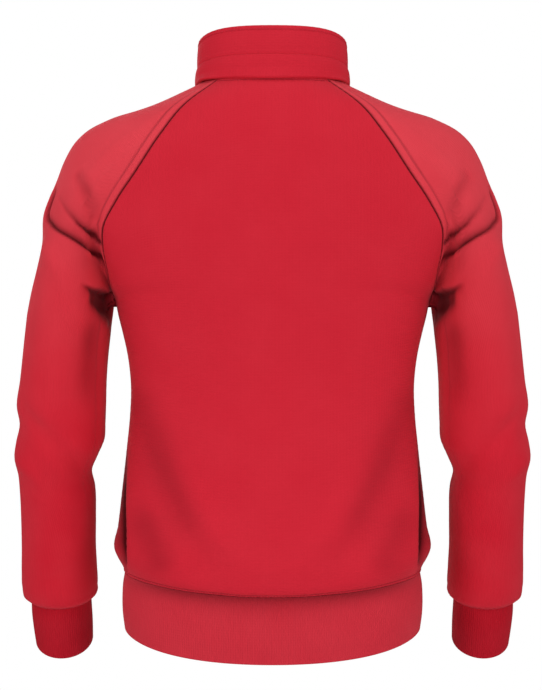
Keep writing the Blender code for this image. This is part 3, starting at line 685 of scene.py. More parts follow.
# Folds of the left sleeve, through points (turn in degrees, height). The turn is 0 towards the body,
# 90 at the back and 180 outside. The arm hangs, so the cloth of the cap sinks in behind the arm's.
SLEEVE_FOLDS = (
    Fold(((27, -0.2095), (31, -0.2045), (43, -0.1987), (70, -0.1930), (95, -0.1840), (120, -0.1742),
          (141, -0.1651), (155, -0.1570), (160, -0.1440), (161, -0.1300), (166, -0.1150)),
         (0.012, 0.015, 0.016, 0.014, 0.012),
         (0.0036, 0.0056, 0.0064, 0.0062, 0.0058, 0.0054, 0.0050, 0.0050, 0.0046, 0.0), 0.9, lap=0.0028),
    Fold(((36, -0.1912), (39, -0.1866), (48, -0.1806), (76, -0.1739), (94, -0.1663), (107, -0.1584),
          (122, -0.1486), (139, -0.1362), (147, -0.1290)),
         (0.010, 0.014, 0.016, 0.016, 0.014),
         (0.0040, 0.0054, 0.0054, 0.0042, 0.0030, 0.0018, 0.0008, 0.0), 0.85, lap=0.0022),
    Fold(((137, -0.1040), (128, -0.1136), (107, -0.1297), (89, -0.1433), (68, -0.1580), (54, -0.1675)),
         (0.006, 0.007, 0.008, 0.007), (0.0, 0.0036, 0.0060, 0.0050, 0.0026, 0.0), 0.8, shade=0.32),
    Fold(((156, -0.1820), (140, -0.1900), (118, -0.2040), (96, -0.2274), (76, -0.2493), (62, -0.2720)),
         (0.009, 0.012, 0.013, 0.010), (0.0, -0.0034, -0.0028, -0.0018, 0.0), 0.9),
    Fold(((152, -0.3600), (133, -0.3737), (112, -0.3933), (82, -0.4154), (50, -0.4320), (18, -0.4460)),
         (0.008, 0.010, 0.012, 0.009), (0.0, 0.0022, 0.0036, 0.0042, 0.0048, 0.0), 0.9),
    Fold(((160, -0.4230), (138, -0.4330), (112, -0.4480), (84, -0.4660)),
         (0.008, 0.010, 0.010), (0.0, -0.0022, -0.0016, 0.0), 0.8),
    Fold(((74, -0.2300), (50, -0.2360), (28, -0.2385), (6, -0.2440), (-16, -0.2570)),
         (0.012, 0.018, 0.014), (0.0, 0.0060, 0.0080, 0.0070, 0.0), 0.9, lap=0.0016),
    # Pocket under the arm, darkened by painted shade.
    Fold(((60, -0.2430), (42, -0.2500), (22, -0.2560), (2, -0.2620), (-20, -0.2680)),
         (0.011, 0.014, 0.013), (0.0, 0.0080, 0.0110, 0.0070, 0.0), 0.9, shade=1.3),
    Fold(((44, -0.2560), (42, -0.2900), (44, -0.3300), (50, -0.3800)),
         (0.014, 0.018, 0.018), (0.0, 0.0050, 0.0036, 0.0), 0.9, shade=0.4),
    Fold(((182, -0.1480), (204, -0.1600), (232, -0.1700), (262, -0.1840), (296, -0.1930), (328, -0.2040)),
         (0.012, 0.015, 0.014, 0.012), (0.0, 0.0040, 0.0058, 0.0062, 0.0054, 0.0), 0.9, lap=0.0034),
    Fold(((212, -0.1260), (238, -0.1450), (270, -0.1650), (308, -0.1820)),
         (0.009, 0.011, 0.009), (0.0, 0.0030, 0.0038, 0.0), 0.8),
    Fold(((200, -0.1860), (230, -0.2010), (262, -0.2240), (292, -0.2490)),
         (0.010, 0.013, 0.011), (0.0, -0.0030, -0.0024, 0.0), 1.1),
    Fold(((184, -0.3980), (214, -0.4130), (250, -0.4240), (292, -0.4290), (334, -0.4300)),
         (0.008, 0.010, 0.011, 0.008), (0.0, 0.0040, 0.0062, 0.0056, 0.0), 0.9, lap=0.0030),
    Fold(((192, -0.3760), (240, -0.3870), (290, -0.3950), (322, -0.3990)),
         (0.009, 0.011, 0.009), (0.0, -0.0030, -0.0026, 0.0), 0.9),
    Fold(((206, -0.4480), (244, -0.4560), (286, -0.4600), (316, -0.4620)),
         (0.008, 0.010, 0.008), (0.0, 0.0028, 0.0022, 0.0), 0.8),
    Fold(((52, -0.5500), (84, -0.5660), (120, -0.5720)),
         (0.007, 0.009, 0.008), (0.0, 0.0016, 0.0), 0.6),
    Fold(((232, -0.5560), (268, -0.5680), (304, -0.5640)),
         (0.007, 0.010, 0.008), (0.0, 0.0020, 0.0), 0.8),
)


def evened(values, reach):
    """Values round a closed ring, each averaged with so many neighbours on both sides under a bell."""
    bell = np.hanning(2 * reach + 3)[1:-1]
    ring = np.concatenate([values[-reach - 1:-1], values, values[1:reach + 1]])
    return np.convolve(ring, bell / bell.sum(), mode="valid")


def arm_ring(rows, heights, angles):
    """Ellipses round the arm at the given heights, tilted by the lean; angle 0 faces the body."""
    width = follow(rows, "half_width", heights)[:, None]
    depth = follow(rows, "half_depth", heights)[:, None]
    lean = np.radians(follow(rows, "lean", heights))[:, None]
    x = follow(rows, "across", heights)[:, None] - width * np.cos(angles)[None, :]
    out = depth * np.sin(angles)[None, :]
    y = follow(rows, "depth", heights)[:, None] + out * np.cos(lean)
    z = heights[:, None] - out * np.sin(lean)
    return np.stack([x, y, z], axis=-1)


def shoulder_line(top):
    """Smooth curve through the shoulder's table, at the same shares of its length as a rough line."""
    line = np.array([(row.across, 0.0, row.height) for row in SHOULDER])
    line = np.concatenate([top[:1], line, top[-1:]])
    line[:, 1] = np.linspace(top[0, 1], top[-1, 1], len(line))
    rough, smooth = travel(top), travel(line)
    return curve(smooth, line, rough / rough[-1] * smooth[-1])


def crown(cap, tenths, share):
    """The cap with its top line laid on the shoulder line. Beside it each ring is curved evenly, and
    passes by a smooth step into its own form."""
    middle = BACK_TENTHS + NECK_TENTHS // 2
    knots = middle + np.array([-CROWN_OUTER, -CROWN_INNER, 0, CROWN_INNER, CROWN_OUTER])
    columns = np.argmin(np.abs(tenths[None, :] - knots[:, None]), axis=1)
    line = shoulder_line(cap[:, columns[2]])
    shaped = cap.copy()
    shaped[:, columns[2]] = line
    places = np.flatnonzero(np.abs(tenths - middle) <= CROWN_OUTER)
    even_rings = flipped(curve(knots * 1.0, flipped(shaped[:, columns]), tenths[places]))
    near_line = smooth_step((CROWN_OUTER - np.abs(tenths[places] - middle)) / CROWN_SPREAD)
    shaped[:, places] = cap[:, places] + (even_rings - cap[:, places]) * near_line[None, :, None]
    rising = smooth_step(share / CROWN_DEPTH)[:, None, None]
    ending = smooth_step((1.0 - share) / CROWN_END)[:, None, None]
    beside_line = smooth_step(1.0 - np.abs(tenths - middle) / CROWN_INNER)[None, :, None]
    lifted = (line - cap[:, columns[2]])[:, None] * beside_line
    cap = cap + rising * ((shaped - cap) * ending + lifted * (1.0 - ending))
    cap[:, columns[2]] = line
    return cap


def outward(slope):
    """Directions that leave the body sideways and fall at the given slopes."""
    return np.stack([np.cos(slope), 0.0 * slope, -np.sin(slope)], axis=1)


def leaving(panel_name, steps):
    """Outward directions of the sleeve, laid into the surface of a panel along its raglan seam."""
    normal = edges[panel_name][SIDE_STEPS:, 0]
    sideways = outward(np.linspace(UNDERARM_SLOPE, SEAM_TOP_SLOPE, steps + 1))
    return unit(sideways - normal * np.sum(sideways * normal, axis=1, keepdims=True))


back_steps, front_steps = BACK_TENTHS * BACK_COLUMNS, FRONT_TENTHS * FRONT_COLUMNS
neck_share = np.linspace(0.0, 1.0, NECK_TENTHS * NECK_COLUMNS + 1)[1:-1]
sleeve_neck = neckline(BACK_SEAM_TURN + (FRONT_SEAM_TURN - BACK_SEAM_TURN) * neck_share)
armhole = np.concatenate([back_raglan, sleeve_neck, front_raglan[::-1]])
tenths = np.concatenate([
    np.linspace(0, BACK_TENTHS, back_steps + 1), BACK_TENTHS + NECK_TENTHS * neck_share,
    BACK_TENTHS + NECK_TENTHS + np.linspace(0, FRONT_TENTHS, front_steps + 1),
])
all_tenths = BACK_TENTHS + NECK_TENTHS + FRONT_TENTHS
neck_slope = SEAM_TOP_SLOPE + (SHOULDER_SLOPE - SEAM_TOP_SLOPE) * np.sin(np.pi * neck_share)
start = np.concatenate([leaving("back_panel", back_steps), outward(neck_slope),
                        leaving("front_panel", front_steps)[::-1]])
start[-1] = start[0]
angles = 2 * np.pi * tenths / all_tenths
first, second = arm_ring(ARM, ARM[0].height - np.array([0.0, DIRECTION_LENGTH]), angles)
chord = np.linalg.norm(first - armhole, axis=1, keepdims=True) * CAP_FULLNESS
cap_share = np.linspace(0.0, 1.0, CAP_ROWS + 1)
cap = ease(armhole, start * chord, first, unit(second - first) * chord, cap_share[:, None, None])
cap = crown(cap, tenths, cap_share)
arm_heights = np.linspace(ARM[0].height, ARM[-1].height, ARM_ROWS + 1)
sleeve_form = np.concatenate([cap[:-1], arm_ring(ARM, arm_heights, angles)])
sleeve_out = surface_normals(sleeve_form, True)
seam_out = np.concatenate([
    edges["back_panel"][SIDE_STEPS:, 0], sleeve_out[0, back_steps + 1:-front_steps - 1],
    edges["front_panel"][SIDE_STEPS:, 0][::-1],
])
near_seam = 1.0 - smooth_step(travel(sleeve_form) / SEAM_BLEND)[..., None]
sleeve_out = unit(sleeve_out * (1.0 - near_seam) + seam_out[None] * near_seam)


def on_sleeve(path):
    """Smooth curve on the sleeve's form through points given by turn and height."""
    path = drawn_path(path)
    place = np.interp(np.mod(path[:, 0], 360.0) / 360.0 * all_tenths, tenths, np.arange(len(tenths)))
    column = np.minimum(place.astype(int), len(tenths) - 2)
    share = (place - column)[None, :, None]
    strips = sleeve_form[:, column] * (1 - share) + sleeve_form[:, column + 1] * share
    row = np.clip(np.sum(strips[..., 2] >= path[None, :, 1], axis=0) - 1, 0, len(strips) - 2)
    every = np.arange(len(path))
    high, low = strips[row, every], strips[row + 1, every]
    t = np.clip((high[:, 2] - path[:, 1]) / (high[:, 2] - low[:, 2]), 0.0, 1.0)[:, None]
    return high + (low - high) * t


sleeve_paths = [on_sleeve(fold.path) for fold in SLEEVE_FOLDS]
turn_marks = np.broadcast_to(tenths[None, :, None], sleeve_form.shape[:2] + (1,))
grid = np.concatenate([sleeve_form, sleeve_out, turn_marks], axis=-1)
seam_slant = slant(sleeve_form)
seam_slant[-1] = seam_slant[0]
row_slant = evened(seam_slant, SLANT_REACH)
gathered = along_values([height for _, height in GATHER], tenths / all_tenths)
height_share = [np.interp(-level, -column[:, 2], run) / run[-1] for level, column, run
                in zip(gathered, flipped(sleeve_form), flipped(travel(sleeve_form)))]
grid = respace(grid, FINE_ROWS, FINE_ROWS[:BAND_FINE], SLEEVE_ROWS, row_slant, 1.0, height_share)
grid = flipped(respace(flipped(grid), FINE_COLUMNS, FINE_COLUMNS, SLEEVE_COLUMNS))
base, out, turns = grid[..., PLACE], unit(grid[..., OUT]), grid[..., -1]
down, sideways = travel(base), flipped(travel(flipped(base)))
middle = [np.interp(all_tenths / 2, row, run) for row, run in zip(turns, sideways)]
across = sideways - np.array(middle)[:, None]
slants = np.interp(turns[0], tenths, seam_slant)
is_neck = smooth_step((turns - BACK_TENTHS + NECK_BLEND) / NECK_BLEND)
is_neck = is_neck * smooth_step((BACK_TENTHS + NECK_TENTHS + NECK_BLEND - turns) / NECK_BLEND)
stitch = RAGLAN_STITCH + (NECK_STITCH - RAGLAN_STITCH) * is_neck
plain_height, plain_painted_shade = relief(
    (down * slants, sideways, stitch), (down[-1] - down, sideways, CUFF_STITCH),
    (np.minimum(sideways, sideways[:, -1:] - sideways), down, None))
fade = smooth_step(down / FOLD_FADE)[..., None]
shade_fade = smooth_step(down / SHADE_FADE)
sleeve_knit = cloth_material("red_sleeve_knit", honeycomb, (SLEEVE_RED, SLEEVE_PALE_AND_SHEEN, KNIT_PAINTED_SHADE),
                             SLEEVE_RELIEF, KNIT_ROUGHNESS, KNIT_SHEEN, SLEEVE_PAINTED_SHEEN)
for side, turned, share in (("left", np.ones(3), lambda fold: 1.0),
                            ("right", MIRROR, lambda fold: fold.right)):
    moved, shade = fold_shift(base.reshape(-1, 3), out.reshape(-1, 3), out.reshape(-1, 3), sleeve_paths,
                              SLEEVE_FOLDS, share)
    points = base + moved.reshape(base.shape) * fade + out * plain_height[..., None]
    # The folds' painted shade, faded out at the armhole, joins the seams'.
    shade = np.minimum(shade, 1.0).reshape(plain_painted_shade.shape) * shade_fade
    marks = np.stack([across, -down, np.maximum(plain_painted_shade, shade)], axis=-1)
    name = "sleeve_" + side
    finished[name] = np.concatenate([points * turned, out * turned, marks], axis=-1)
    mesh = cloth_mesh(name, turn_in(finished[name]), closed=True)
    piece = cloth_piece(name, mesh, sleeve_knit, BODY_CLOTH)

# ---------------------------------------------------------------------------------------------
# Collar: two bands of the knit, each folded double, one standing on the other. The lower one laps
# over the seam at the neckline, and the upper one has a row of stitches below its folded edge.

BandRow = namedtuple("BandRow", "along outset")
COLLAR_LOWER = [BandRow(*row) for row in (
    (0.0000, -0.0004), (0.0004, 0.0012), (0.0012, 0.0025), (0.0040, 0.0032), (0.0130, 0.0034),
    (0.0200, 0.0026), (0.0237, 0.0016),
)]
COLLAR_UPPER = [BandRow(*row) for row in (
    (0.0000, 0.0001), (0.0008, 0.0005), (0.0070, 0.0010), (0.0190, 0.0008), (0.0310, -0.0006),
)]
COLLAR_LOWER_HEIGHT = 0.0245
# The bands are lower at their sides and front: the share of the height at the back that they have.
COLLAR_SIDE_SHARE, RIM_SIDE_SHARE = 0.78, 0.92
COLLAR_CLOTH = 0.0028
COLLAR_STITCH = 0.0050
# The rim's row of stitches gets this share of its painted shade.
RIM_SHADE = 0.3
COLLAR_ROWS, BAND_DRAWING = 22, 120
LOWER_CUT, UPPER_CUT = (0.560, 0.026), (0.560, 0.033)
# At the back and behind each shoulder the lower band's edge stands off the neckline: how far out and
# down, at which angle from the centre back, over which angle and how far up the band.
Flare = namedtuple("Flare", "outset drop angle reach height")
FLARES = (Flare(0.0046, 0.0030, 0.0, 40.0, 0.0140), Flare(0.0062, -0.0008, 57.0, 11.0, 0.0120),
          Flare(0.0040, -0.0006, -58.0, 9.0, 0.0100))
# Behind a flare the inner face keeps its last rows at the seam, and the pocket between the two is
# closed at these shares of its width, its floor raised by so many times its width.
SEATED_ROWS, POCKET_SHARES, POCKET_RISE = 4, (0.3, 0.6, 0.8), 1.3
SEAM_LAP = 0.0012
FOLD_STEPS = 7
UPRIGHT = np.array([0.0, 0.0, 1.0])


def ring_outward(ring):
    """Level directions out of a closed ring: a quarter turn from the step between its neighbours."""
    inner = ring[:-1]
    along = np.roll(inner, -1, axis=0) - np.roll(inner, 1, axis=0)
    out = unit(np.stack([along[:, 1], -along[:, 0], 0.0 * along[:, 0]], axis=1))
    out = out if np.sum(out * (inner - inner.mean(axis=0))) > 0 else -out
    return np.concatenate([out, out[:1]])


def back_share(ring, elsewhere):
    """1 at the back of a ring, falling by a smooth step to another share at its sides and front."""
    return elsewhere + (1 - elsewhere) * smooth_step(ring[:, 1] / ring[:, 1].max())


def band_grid(ring, rows, direction, share):
    """Band that goes up (1) or down (-1) from a ring, set out level by the table's outsets."""
    along = np.linspace(0.0, rows[-1].along, BAND_DRAWING)
    outset = follow(rows, "outset", along)
    out = ring_outward(ring)
    rise = direction * along[:, None] * np.broadcast_to(share, len(ring))[None]
    points = ring[None] + out[None] * outset[:, None, None] + rise[..., None] * UPRIGHT
    return np.concatenate([points, np.broadcast_to(out, points.shape)], axis=-1)


def doubled(grid, thickness, rim_stitch, count, stand=None):
    """Cloth folded double: its outer face from the seam to the edge, half a circle over the edge, and
    its inner face back to the seam. A row of stitches may run beside the edge. Where the outer face
    stands off the seam, the space behind it is open and goes up as far as it stands."""
    fine = FINE_ROWS[:BAND_FINE]
    grid = respace(grid, fine, fine, count)
    outer, out = grid[..., PLACE], unit(grid[..., OUT])
    down = travel(outer)
    around = flipped(travel(flipped(outer[:1]))) + 0.0 * down
    height, painted_shade = seam_relief(down, around, None, 0.0)
    if rim_stitch:
        more, rim_painted_shade = seam_relief(down[-1] - down + thickness / 2, around, rim_stitch, 0.0)
        height, painted_shade = height + more, np.maximum(painted_shade, RIM_SHADE * rim_painted_shade)
    outer = outer + out * height[..., None]
    onward = unit(outer[-1] - outer[-2])
    turn = np.linspace(0.0, np.pi, FOLD_STEPS + 2)[1:-1, None, None]
    round_out = np.cos(turn) * out[-1] + np.sin(turn) * onward
    fold = outer[-1] + (round_out - out[-1]) * thickness / 2
    backward = np.arange(len(outer) - 1, -1, -1)
    inner = (outer - out * thickness)[backward]
    inner_out = -out[backward]
    if stand is not None:
        inner[-SEATED_ROWS:] -= out[:1] * stand[None, :, None]
        inner[-1] -= SEAM_LAP * UPRIGHT
        width = (outer[0] - inner[-1])[None]
        pocket = inner[-1] + width * np.array(POCKET_SHARES)[:, None, None]
        pocket[1] += POCKET_RISE * stand[:, None] * UPRIGHT
        inner = np.concatenate([inner, pocket])
        inner_out = np.concatenate([inner_out, np.broadcast_to(inner_out[-1:], pocket.shape)])
    points = np.concatenate([outer, fold, inner, outer[:1]])
    facing = np.concatenate([out, round_out, inner_out, out[:1]])
    painted_shade = np.concatenate([painted_shade, np.zeros((len(points) - len(painted_shade), painted_shade.shape[1]))])
    along = travel(points)
    marks = np.stack([around[:1] + 0.0 * along, along, painted_shade], axis=-1)
    return np.concatenate([points, facing, marks], axis=-1)


left_neck = sleeve_form[0, back_steps + 1:-front_steps - 1]
back_form, front_form = forms["back_panel"], forms["front_panel"]
neck_ring = np.concatenate([back_form[-1, ::-1], left_neck, front_form[-1], (left_neck * MIRROR)[::-1],
                            back_form[-1, -1:]])
lower_share = back_share(neck_ring, COLLAR_SIDE_SHARE)
lower = band_grid(neck_ring, COLLAR_LOWER, 1, lower_share)
bearing = np.degrees(np.arctan2(neck_ring[:, 0], neck_ring[:, 1]))
risen = travel(lower)
stand = np.zeros(len(neck_ring))
for flare in FLARES:
    reach = np.exp(-((bearing - flare.angle) / flare.reach) ** 2)[None]
    reach = reach * smooth_step(1.0 - risen / flare.height)
    lower[..., PLACE] += lower[..., OUT] * (flare.outset * reach)[..., None]
    lower[..., 2] -= flare.drop * reach
    stand += flare.outset * reach[0]
mid_ring = neck_ring + (COLLAR_LOWER_HEIGHT * lower_share)[:, None] * UPRIGHT
upper = band_grid(mid_ring, COLLAR_UPPER, 1, back_share(mid_ring, RIM_SIDE_SHARE))
for name, grid, rim, flat, standing in (("collar_lower", lower, None, LOWER_CUT, stand),
                                        ("collar_upper", upper, COLLAR_STITCH, UPPER_CUT, None)):
    finished[name] = doubled(grid, COLLAR_CLOTH, rim, COLLAR_ROWS, standing)
    mesh = cloth_mesh(name, finished[name], closed=True, looped=True)
    piece = cloth_piece(name, mesh, knit)

# ---------------------------------------------------------------------------------------------
# Hem band and cuffs: tubes of fine rib, folded double, that hold the body and the sleeves in. The
# body's lower edge blouses over the hem band, and each sleeve puffs out over its cuff.

HEM = [BandRow(*row) for row in (
    (0.0000, 0.0000), (0.0120, 0.0020), (0.0300, 0.0030), (0.0520, 0.0025), (0.0720, 0.0002),
)]
HEM_SIDE_SHARE = 0.87
# Under the blouse at the back the band is drawn in so far, over such a height, and it gets so much
# painted shadow at the seam, fading over such a height.
DRAWN_IN, DRAWN_HEIGHT = 0.0062, 0.0120
HIDDEN_SHADE, HIDDEN_HEIGHT = 0.55, 0.0130
CUFF = [ArmRow(*row) for row in (
    (-0.598, 0.2510, -0.063, 0.0350, 0.0385, 14.0), (-0.611, 0.2510, -0.067, 0.0355, 0.0392, 18.0),
    (-0.631, 0.2505, -0.075, 0.0352, 0.0388, 24.0), (-0.6512, 0.2500, -0.0835, 0.0341, 0.0376, 28.7),
)]
RIB_CLOTH = 0.0026
RIB_WIDTH, RIB_ROW = 0.0026, 0.0029
RIB_RELIEF = 0.00026
RIB_RED = (0.590, 0.0210, 0.0390, 1.0)
RIB_LIGHT = (0.670, 0.0420, 0.0620, 1.0)
RIB_PAINTED_SHADE = (0.060, 0.0002, 0.0020, 1.0)
# The cuffs' rib is a darker copy of the hem band's, painted shade at the lower ends of the sleeves.
CUFF_SHADED_RED = (0.430, 0.0010, 0.0100, 1.0)
RIB_ROUGHNESS, HEM_SHEEN, CUFF_SHEEN = 0.82, 0.07, 0.02
RIB_ROW_SHARE = 0.12
HEM_ROWS, CUFF_ROWS = 40, 30
HEM_CUT, CUFF_CUT = (0.905, 0.070), (0.235, 0.057)


def rib(tree, u, v):
    """Sine wave across the ribs, raised by one and halved, with a fainter one along them."""
    wales = math_node(tree, "SINE", math_node(tree, "MULTIPLY", u, 2 * np.pi / RIB_WIDTH))
    rows = math_node(tree, "SINE", math_node(tree, "MULTIPLY", v, 2 * np.pi / RIB_ROW))
    raised = math_node(tree, "MULTIPLY_ADD", wales, 0.5, 0.5)
    return math_node(tree, "MULTIPLY_ADD", rows, RIB_ROW_SHARE, raised)


fine_rib = cloth_material("red_rib", rib, (RIB_RED, RIB_LIGHT, RIB_PAINTED_SHADE), RIB_RELIEF,
                          RIB_ROUGHNESS, HEM_SHEEN)
cuff_shaded_rib = cloth_material("cuff_rib_painted_shade", rib, (CUFF_SHADED_RED, RIB_RED, RIB_PAINTED_SHADE), RIB_RELIEF,
                          RIB_ROUGHNESS, CUFF_SHEEN)

waist_ring = np.concatenate([back_form[0], front_form[0, -2:0:-1], back_form[0, :1]])
hem = band_grid(waist_ring, HEM, -1, back_share(waist_ring, HEM_SIDE_SHARE))
fallen = travel(hem)
drawn = fallen / DRAWN_HEIGHT * np.exp(1.0 - fallen / DRAWN_HEIGHT) * back_share(waist_ring, 0.0)[None]
hem[..., PLACE] -= hem[..., OUT] * (DRAWN_IN * drawn)[..., None]
cuff_heights = np.linspace(CUFF[0].height, CUFF[-1].height, BAND_DRAWING)
cuff = arm_ring(CUFF, cuff_heights, angles)
cuff = np.concatenate([cuff, surface_normals(cuff, True)], axis=-1)
mirrored = np.concatenate([MIRROR, MIRROR])
for name, grid, flat, count, finish in (("hem_band", hem, HEM_CUT, HEM_ROWS, fine_rib),
                                        ("cuff_left", cuff, CUFF_CUT, CUFF_ROWS, cuff_shaded_rib),
                                        ("cuff_right", cuff * mirrored, CUFF_CUT, CUFF_ROWS, cuff_shaded_rib)):
    finished[name] = doubled(grid, RIB_CLOTH, None, count)
    # Painted shadow under the blouse at the back of the hem band.
    if name == "hem_band":
        below = finished[name][..., CUT][..., 1]
        painted_blouse_shadow = HIDDEN_SHADE * np.exp(-(below / HIDDEN_HEIGHT) ** 2) * back_share(waist_ring, 0.0)[None]
        finished[name][..., PAINTED_SHADE] = np.maximum(finished[name][..., PAINTED_SHADE], painted_blouse_shadow)
    mesh = cloth_mesh(name, finished[name], closed=True, looped=True)
    piece = cloth_piece(name, mesh, finish)

# ---------------------------------------------------------------------------------------------
# Stitching: rows of lockstitch in thread of the cloth's colour, sunk a little into it. They hold the
# cloth flat beside the slanting seams, under the collar, above the hem band and cuffs and at the rim.

STITCH_PITCH = 0.0032
STITCH_LENGTH = 0.0026
THREAD_RADIUS = 0.00028
THREAD_SIDES = 6
THREAD_LIFT = 0.00005
# Rings of a stitch at these shares of its half length. Its ends are thinner, down to a tenth, and
# sink by so many times its radius.
STITCH_RINGS = np.array([-1.0, -0.8, -0.4, 0.0, 0.4, 0.8, 1.0])
LEAST_RADIUS, END_SINK = 0.1, 1.6
THREAD_RED = (0.430, 0.007, 0.026, 1.0)
THREAD_LIGHT = (0.5805, 0.00945, 0.0351, 1.0)
THREAD_ROUGHNESS, THREAD_SCALE, THREAD_DETAIL = 0.55, 900.0, 1.0


def line_at(grid, reached, value):
    """Line across a grid where the distance reached in each column has a value, and its directions."""
    value = np.broadcast_to(value, grid.shape[1])
    index = np.clip((reached <= value[None]).sum(axis=0) - 1, 0, len(grid) - 2)[None]
    low, high = (np.take_along_axis(reached, index + step, axis=0) for step in (0, 1))
    t = ((value[None] - low) / (high - low))[..., None]
    line = (pick(grid, index) * (1 - t) + pick(grid, index + 1) * t)[0]
    return line[:, PLACE], unit(line[:, OUT])


def stitches(line, out):
    """Spindles of thread a pitch apart along a line: circles whose size is the root of one less the
    square of their share of the length, and which sink into the cloth at both ends."""
    reached = travel(line)
    middles = np.arange(STITCH_PITCH / 2, reached[-1] - STITCH_PITCH / 2, STITCH_PITCH)
    half = STITCH_LENGTH / 2
    forward = unit(read_line(line, reached, middles + half) - read_line(line, reached, middles - half))
    up = read_line(out, reached, middles)
    up = unit(up - forward * np.sum(up * forward, axis=1, keepdims=True))
    side = np.cross(forward, up)
    radius = THREAD_RADIUS * np.sqrt(np.maximum(1 - STITCH_RINGS ** 2, LEAST_RADIUS ** 2))
    lift = THREAD_LIFT - END_SINK * THREAD_RADIUS * STITCH_RINGS ** 4
    around = np.linspace(0.0, 2 * np.pi, THREAD_SIDES + 1)[:-1]
    risen = (lift[:, None] + radius[:, None] * np.cos(around))[None, :, :, None]
    aside = (radius[:, None] * np.sin(around))[None, :, :, None]
    centres = read_line(line, reached, middles[:, None] + STITCH_RINGS[None] * half)
    return centres[:, :, None] + up[:, None, None] * risen + side[:, None, None] * aside


def thread_faces(stitch_count, rings):
    """Quads round each spindle and a face over each of its ends."""
    numbers = np.arange(rings * THREAD_SIDES).reshape(rings, THREAD_SIDES)
    around = np.concatenate([numbers, numbers[:, :1]], axis=1)
    quads = np.stack([around[:-1, :-1], around[:-1, 1:], around[1:, 1:], around[1:, :-1]], axis=-1)
    starts = (np.arange(stitch_count) * rings * THREAD_SIDES)[:, None, None]
    faces = (starts + quads.reshape(-1, 4)).reshape(-1, 4).tolist()
    for end in (numbers[0, ::-1], numbers[-1]):
        faces += (starts[:, 0] + end).tolist()
    return faces


lines = []
for name in ("back_panel", "front_panel"):
    grid = finished[name]
    lines.append(line_at(grid, travel(grid), HEM_STITCH))
    lines.append(line_at(grid[::-1], travel(grid[::-1]), NECK_STITCH))
for name in ("sleeve_left", "sleeve_right"):
    grid = finished[name]
    line, out = line_at(grid, travel(grid) * slants, stitch[0])
    neck = (turns[0] > BACK_TENTHS) & (turns[0] < BACK_TENTHS + NECK_TENTHS)
    for part in (turns[0] <= BACK_TENTHS, neck, turns[0] >= BACK_TENTHS + NECK_TENTHS):
        lines.append((line[part], out[part]))
    lines.append(line_at(grid[::-1], travel(grid[::-1]), CUFF_STITCH))
grid = finished["collar_upper"]
rim_row = np.argmax(np.sum(grid[:, :, 2], axis=1))
lines.append(line_at(grid[rim_row::-1], travel(grid[rim_row::-1]), COLLAR_STITCH))
threads = np.concatenate([stitches(line, out) for line, out in lines])
mesh = bpy.data.meshes.new("stitching")
mesh.from_pydata(threads.reshape(-1, 3).tolist(), [], thread_faces(len(threads), threads.shape[1]))
mesh.shade_smooth()
thread, tree, shader = new_material("red_thread")
place = add_node(tree, "TexCoord", {})["Object"]
shade = noise_node(tree, place, THREAD_SCALE, THREAD_DETAIL)
fill(tree, shader, {"Base Color": mix_node(tree, shade, THREAD_RED, THREAD_LIGHT),
                    "Roughness": THREAD_ROUGHNESS})
stitching = placed("stitching", mesh)
mesh.materials.append(thread)
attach(stitching, "root")

# ---------------------------------------------------------------------------------------------
# Floor, lights and camera. The floor is plain and pale and fades into the white round it, the light
# is soft, and the camera stands level behind the garment, as high as its middle.

FLOOR_HEIGHT, FLOOR_SIDES = -1.45, 96
# The floor fades out between its edge and this distance from its middle.
FLOOR_RADIUS, FLOOR_CLEAR = 3.2, 1.7
FLOOR_PALE, FLOOR_ROUGHNESS = (0.86, 0.86, 0.86, 1.0), 0.9
floor_turn = np.linspace(0.0, 2 * np.pi, FLOOR_SIDES + 1)[:-1]
floor_points = np.stack([FLOOR_RADIUS * np.cos(floor_turn), FLOOR_RADIUS * np.sin(floor_turn),
                         FLOOR_HEIGHT + 0.0 * floor_turn], axis=1)
floor_mesh = bpy.data.meshes.new("floor")
floor_mesh.from_pydata(floor_points.tolist(), [], [list(range(FLOOR_SIDES))])
floor = placed("floor", floor_mesh)
pale, tree, shader = new_material("pale_floor")
place = add_node(tree, "TexCoord", {})["Object"]
away = add_node(tree, "VectorMath", {0: place}, operation="LENGTH")["Value"]
fading = add_node(tree, "MapRange", {"Value": away, "From Min": FLOOR_RADIUS, "From Max": FLOOR_CLEAR})
fill(tree, shader, {"Base Color": FLOOR_PALE, "Roughness": FLOOR_ROUGHNESS, "Alpha": fading[0]})
floor_mesh.materials.append(pale)

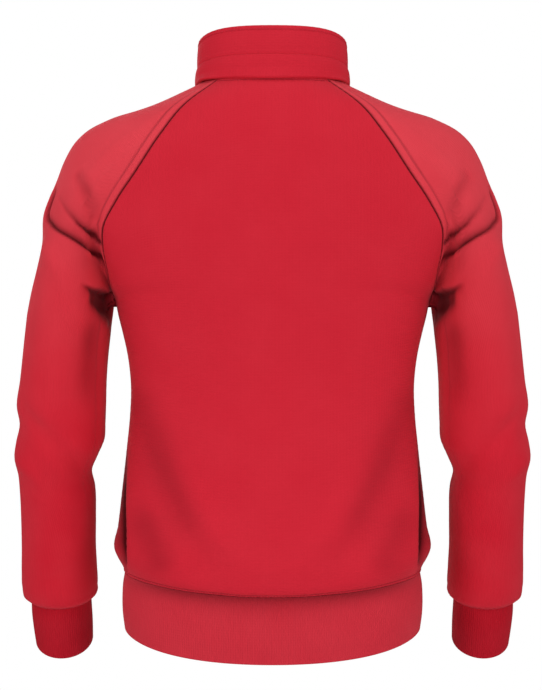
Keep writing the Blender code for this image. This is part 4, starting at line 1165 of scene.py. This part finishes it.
SEEN_WHITE, LIGHTING_WHITE = 1.0, 0.12
world = bpy.data.worlds.new("studio")
bpy.context.scene.world = world
world.use_nodes = True
tree = world.node_tree
seen = add_node(tree, "LightPath", {})["Is Camera Ray"]
strength = add_node(tree, "MapRange", {"Value": seen, "To Min": LIGHTING_WHITE, "To Max": SEEN_WHITE})
fill(tree, tree.nodes["Background"], {"Color": (1.0, 1.0, 1.0, 1.0), "Strength": strength[0]})

CENTRE_HEIGHT = -0.299
Lamp = namedtuple("Lamp", "name place width height power")
LAMPS = (
    Lamp("key", (0.0, 2.5, -0.5), 1.6, 1.2, 14.5),
    Lamp("left_quarter", (1.8, 2.0, 0.2), 1.0, 1.6, 22.0),
    Lamp("right_quarter", (-1.8, 2.0, 0.2), 1.0, 1.6, 22.0),
    Lamp("left_high", (2.0, 0.5, 1.3), 1.0, 1.2, 15.0),
    Lamp("right_high", (-2.0, 0.5, 1.3), 1.0, 1.2, 15.0),
    Lamp("top", (0.0, 0.2, 1.9), 1.8, 1.0, 8.5),
    Lamp("front", (0.4, -2.6, 0.6), 2.2, 1.6, 40.0),
)
for lamp in LAMPS:
    light = bpy.data.lights.new(lamp.name, "AREA")
    light.shape = "RECTANGLE"
    light.size = lamp.width
    light.size_y = lamp.height
    light.energy = lamp.power
    holder = placed(lamp.name, light)
    towards = Vector((0.0, 0.0, CENTRE_HEIGHT)) - Vector(lamp.place)
    holder.location = lamp.place
    holder.rotation_euler = towards.to_track_quat("-Z", "Y").to_euler()

# The picture is so many pixels high, and a pixel is so large at the garment.
CAMERA_DISTANCE, CAMERA_ACROSS = 1.8, 0.0017
PICTURE_PIXELS, PIXEL = 690, 0.00115
SENSOR = 36.0
camera_data = bpy.data.cameras.new("camera")
camera_data.sensor_width = SENSOR
camera_data.lens = SENSOR * CAMERA_DISTANCE / (PICTURE_PIXELS * PIXEL)
camera = placed("camera", camera_data)
camera.location = (CAMERA_ACROSS, CAMERA_DISTANCE, CENTRE_HEIGHT)
camera.rotation_euler = (np.radians(90.0), 0.0, np.radians(180.0))
bpy.context.scene.camera = camera
bpy.context.scene.view_settings.view_transform = "Standard"

bpy.context.view_layer.update()
